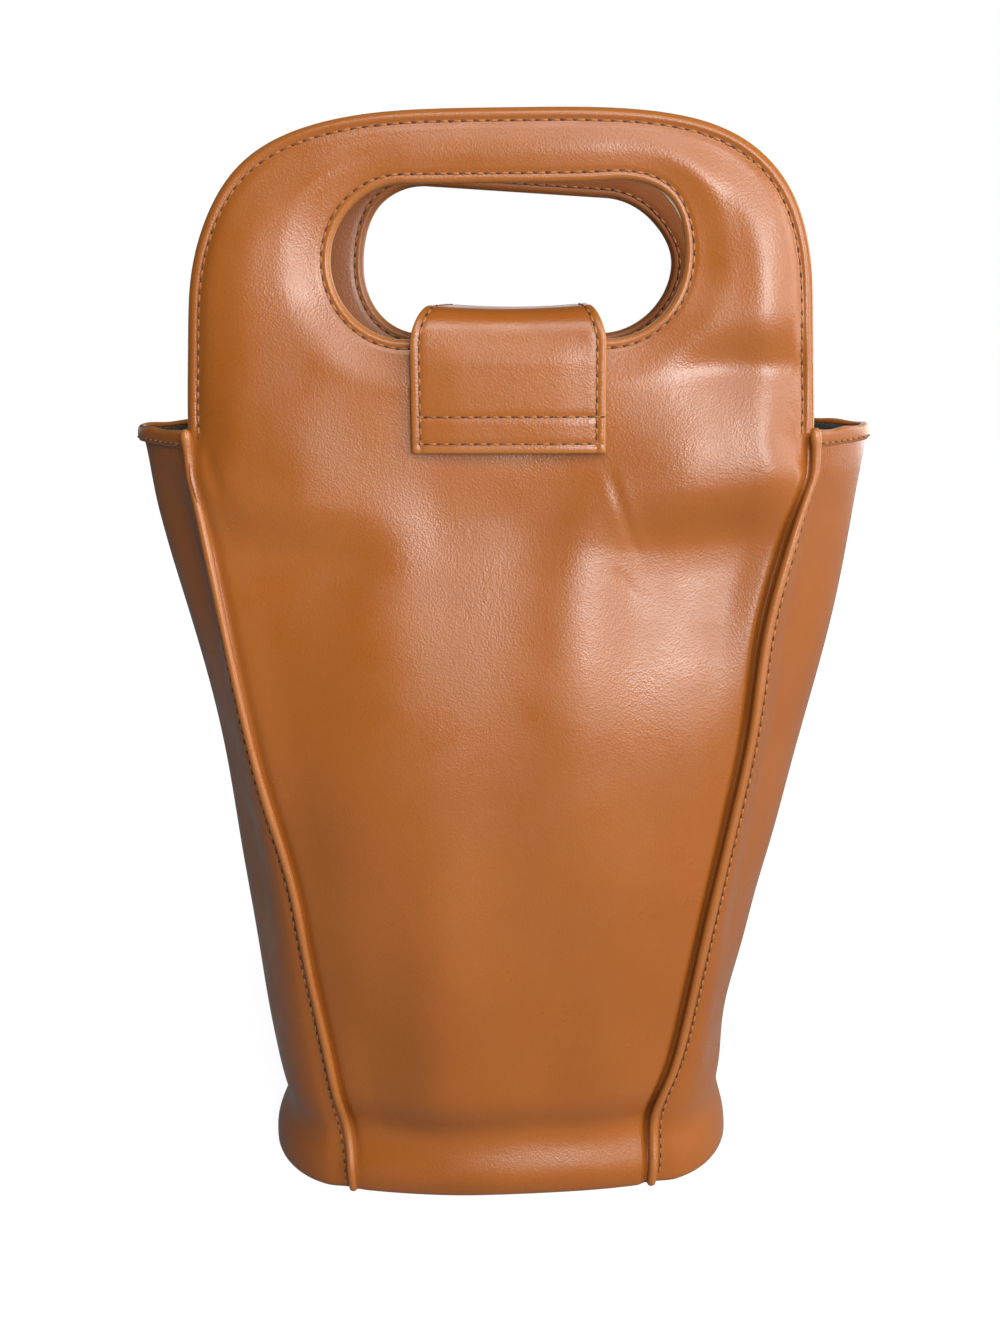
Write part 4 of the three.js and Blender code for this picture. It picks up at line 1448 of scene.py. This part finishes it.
# %% Body seams
GUSSET_STITCH, HEM_STITCH, HEM_STITCH_OUT = 3.4, 4.0, 0.8
BODY_PITCH = 3.9


def gusset_seam(side, end):
    """A line on the gusset beside its welt."""
    rows = np.linspace(6.0, 284.0, 150)
    grid = gusset_skin(side, GUSSET_COLUMNS, rows)[0].reshape(len(rows), GUSSET_COLUMNS, 3)
    line = []
    for row in grid if end < 0 else grid[:, ::-1]:
        steps = run_lengths(row)
        line.append([np.interp(GUSSET_STITCH, steps, row[:, k]) for k in range(3)])
    return np.array(line)


def hem_seam(side):
    """A line on the outside of a hem, near its lower edge."""
    top = hem_line(side, 4)
    out = level_normals(top, side)
    return np.concatenate([top[:, :2] + out * HEM_STITCH_OUT, (top[:, 2] - HEM_STITCH)[:, None]], axis=1)


body_lines = [gusset_seam(side, end) for side in (-1, 1) for end in (-1, 1)]
body_lines += [hem_seam(side) for side in (-1, 1)]
for piece in sew_seams("body", body_lines, 9, BODY_PITCH):
    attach(piece, "body")

# %% [markdown]
# ### Tab seams
#
# The flap is sewn along its sides and its end, with a second line across, just below the snap, that sets
# off a narrow band. The side seams run on over the bridge to the sewn end behind, which has two lines too.

# %% Tab seams
def side_seam(steps, sign):
    """A line of stitches along one side of the strap."""
    return lay_tab(steps, sign * (tab_half(steps) - SIDE_STITCH), STITCH_LIFT)


def cross_seam(level):
    """A line of stitches across the strap."""
    steps = np.full(60, level)
    return lay_tab(steps, np.linspace(-1.0, 1.0, 60) * (tab_half(steps) - SIDE_STITCH), STITCH_LIFT)


flap_run = np.linspace(END_STITCH, split_step - 1.0, 120)
flap_lines = [side_seam(flap_run, sign) for sign in (-1.0, 1.0)]
flap_lines += [cross_seam(level) for level in (END_STITCH, BAND_STITCH)]
for piece in sew_seams("flap", flap_lines, 13):
    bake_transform(piece)

anchor_run = np.linspace(split_step + 1.0, TAB_LENGTH - END_STITCH, 120)
anchor_lines = [side_seam(anchor_run, sign) for sign in (-1.0, 1.0)]
anchor_lines += [cross_seam(TAB_LENGTH - level) for level in (END_STITCH, ANCHOR_STITCH)]
for piece in sew_seams("anchor", anchor_lines, 17):
    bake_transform(piece)

# %% [markdown]
# ## Boards and snap
#
# The boards sit inside the leather and the snap under the flap. They keep their measured shape and only
# get a finish.

# %% Finishes of the measured pieces
finishes = {
    "base_board": fibre_board,
    "front_handle_board": fibre_board,
    "back_handle_board": fibre_board,
    "tab_flap_board": fibre_board,
    "snap_socket": nickel,
    "snap_socket_washer": nickel,
    "snap_stud": nickel,
    "snap_stud_washer": nickel,
}
for name, finish in finishes.items():
    node = bpy.data.objects[name]
    node.data.materials.clear()
    node.data.materials.append(finish)
print("measured pieces finished", len(finishes))
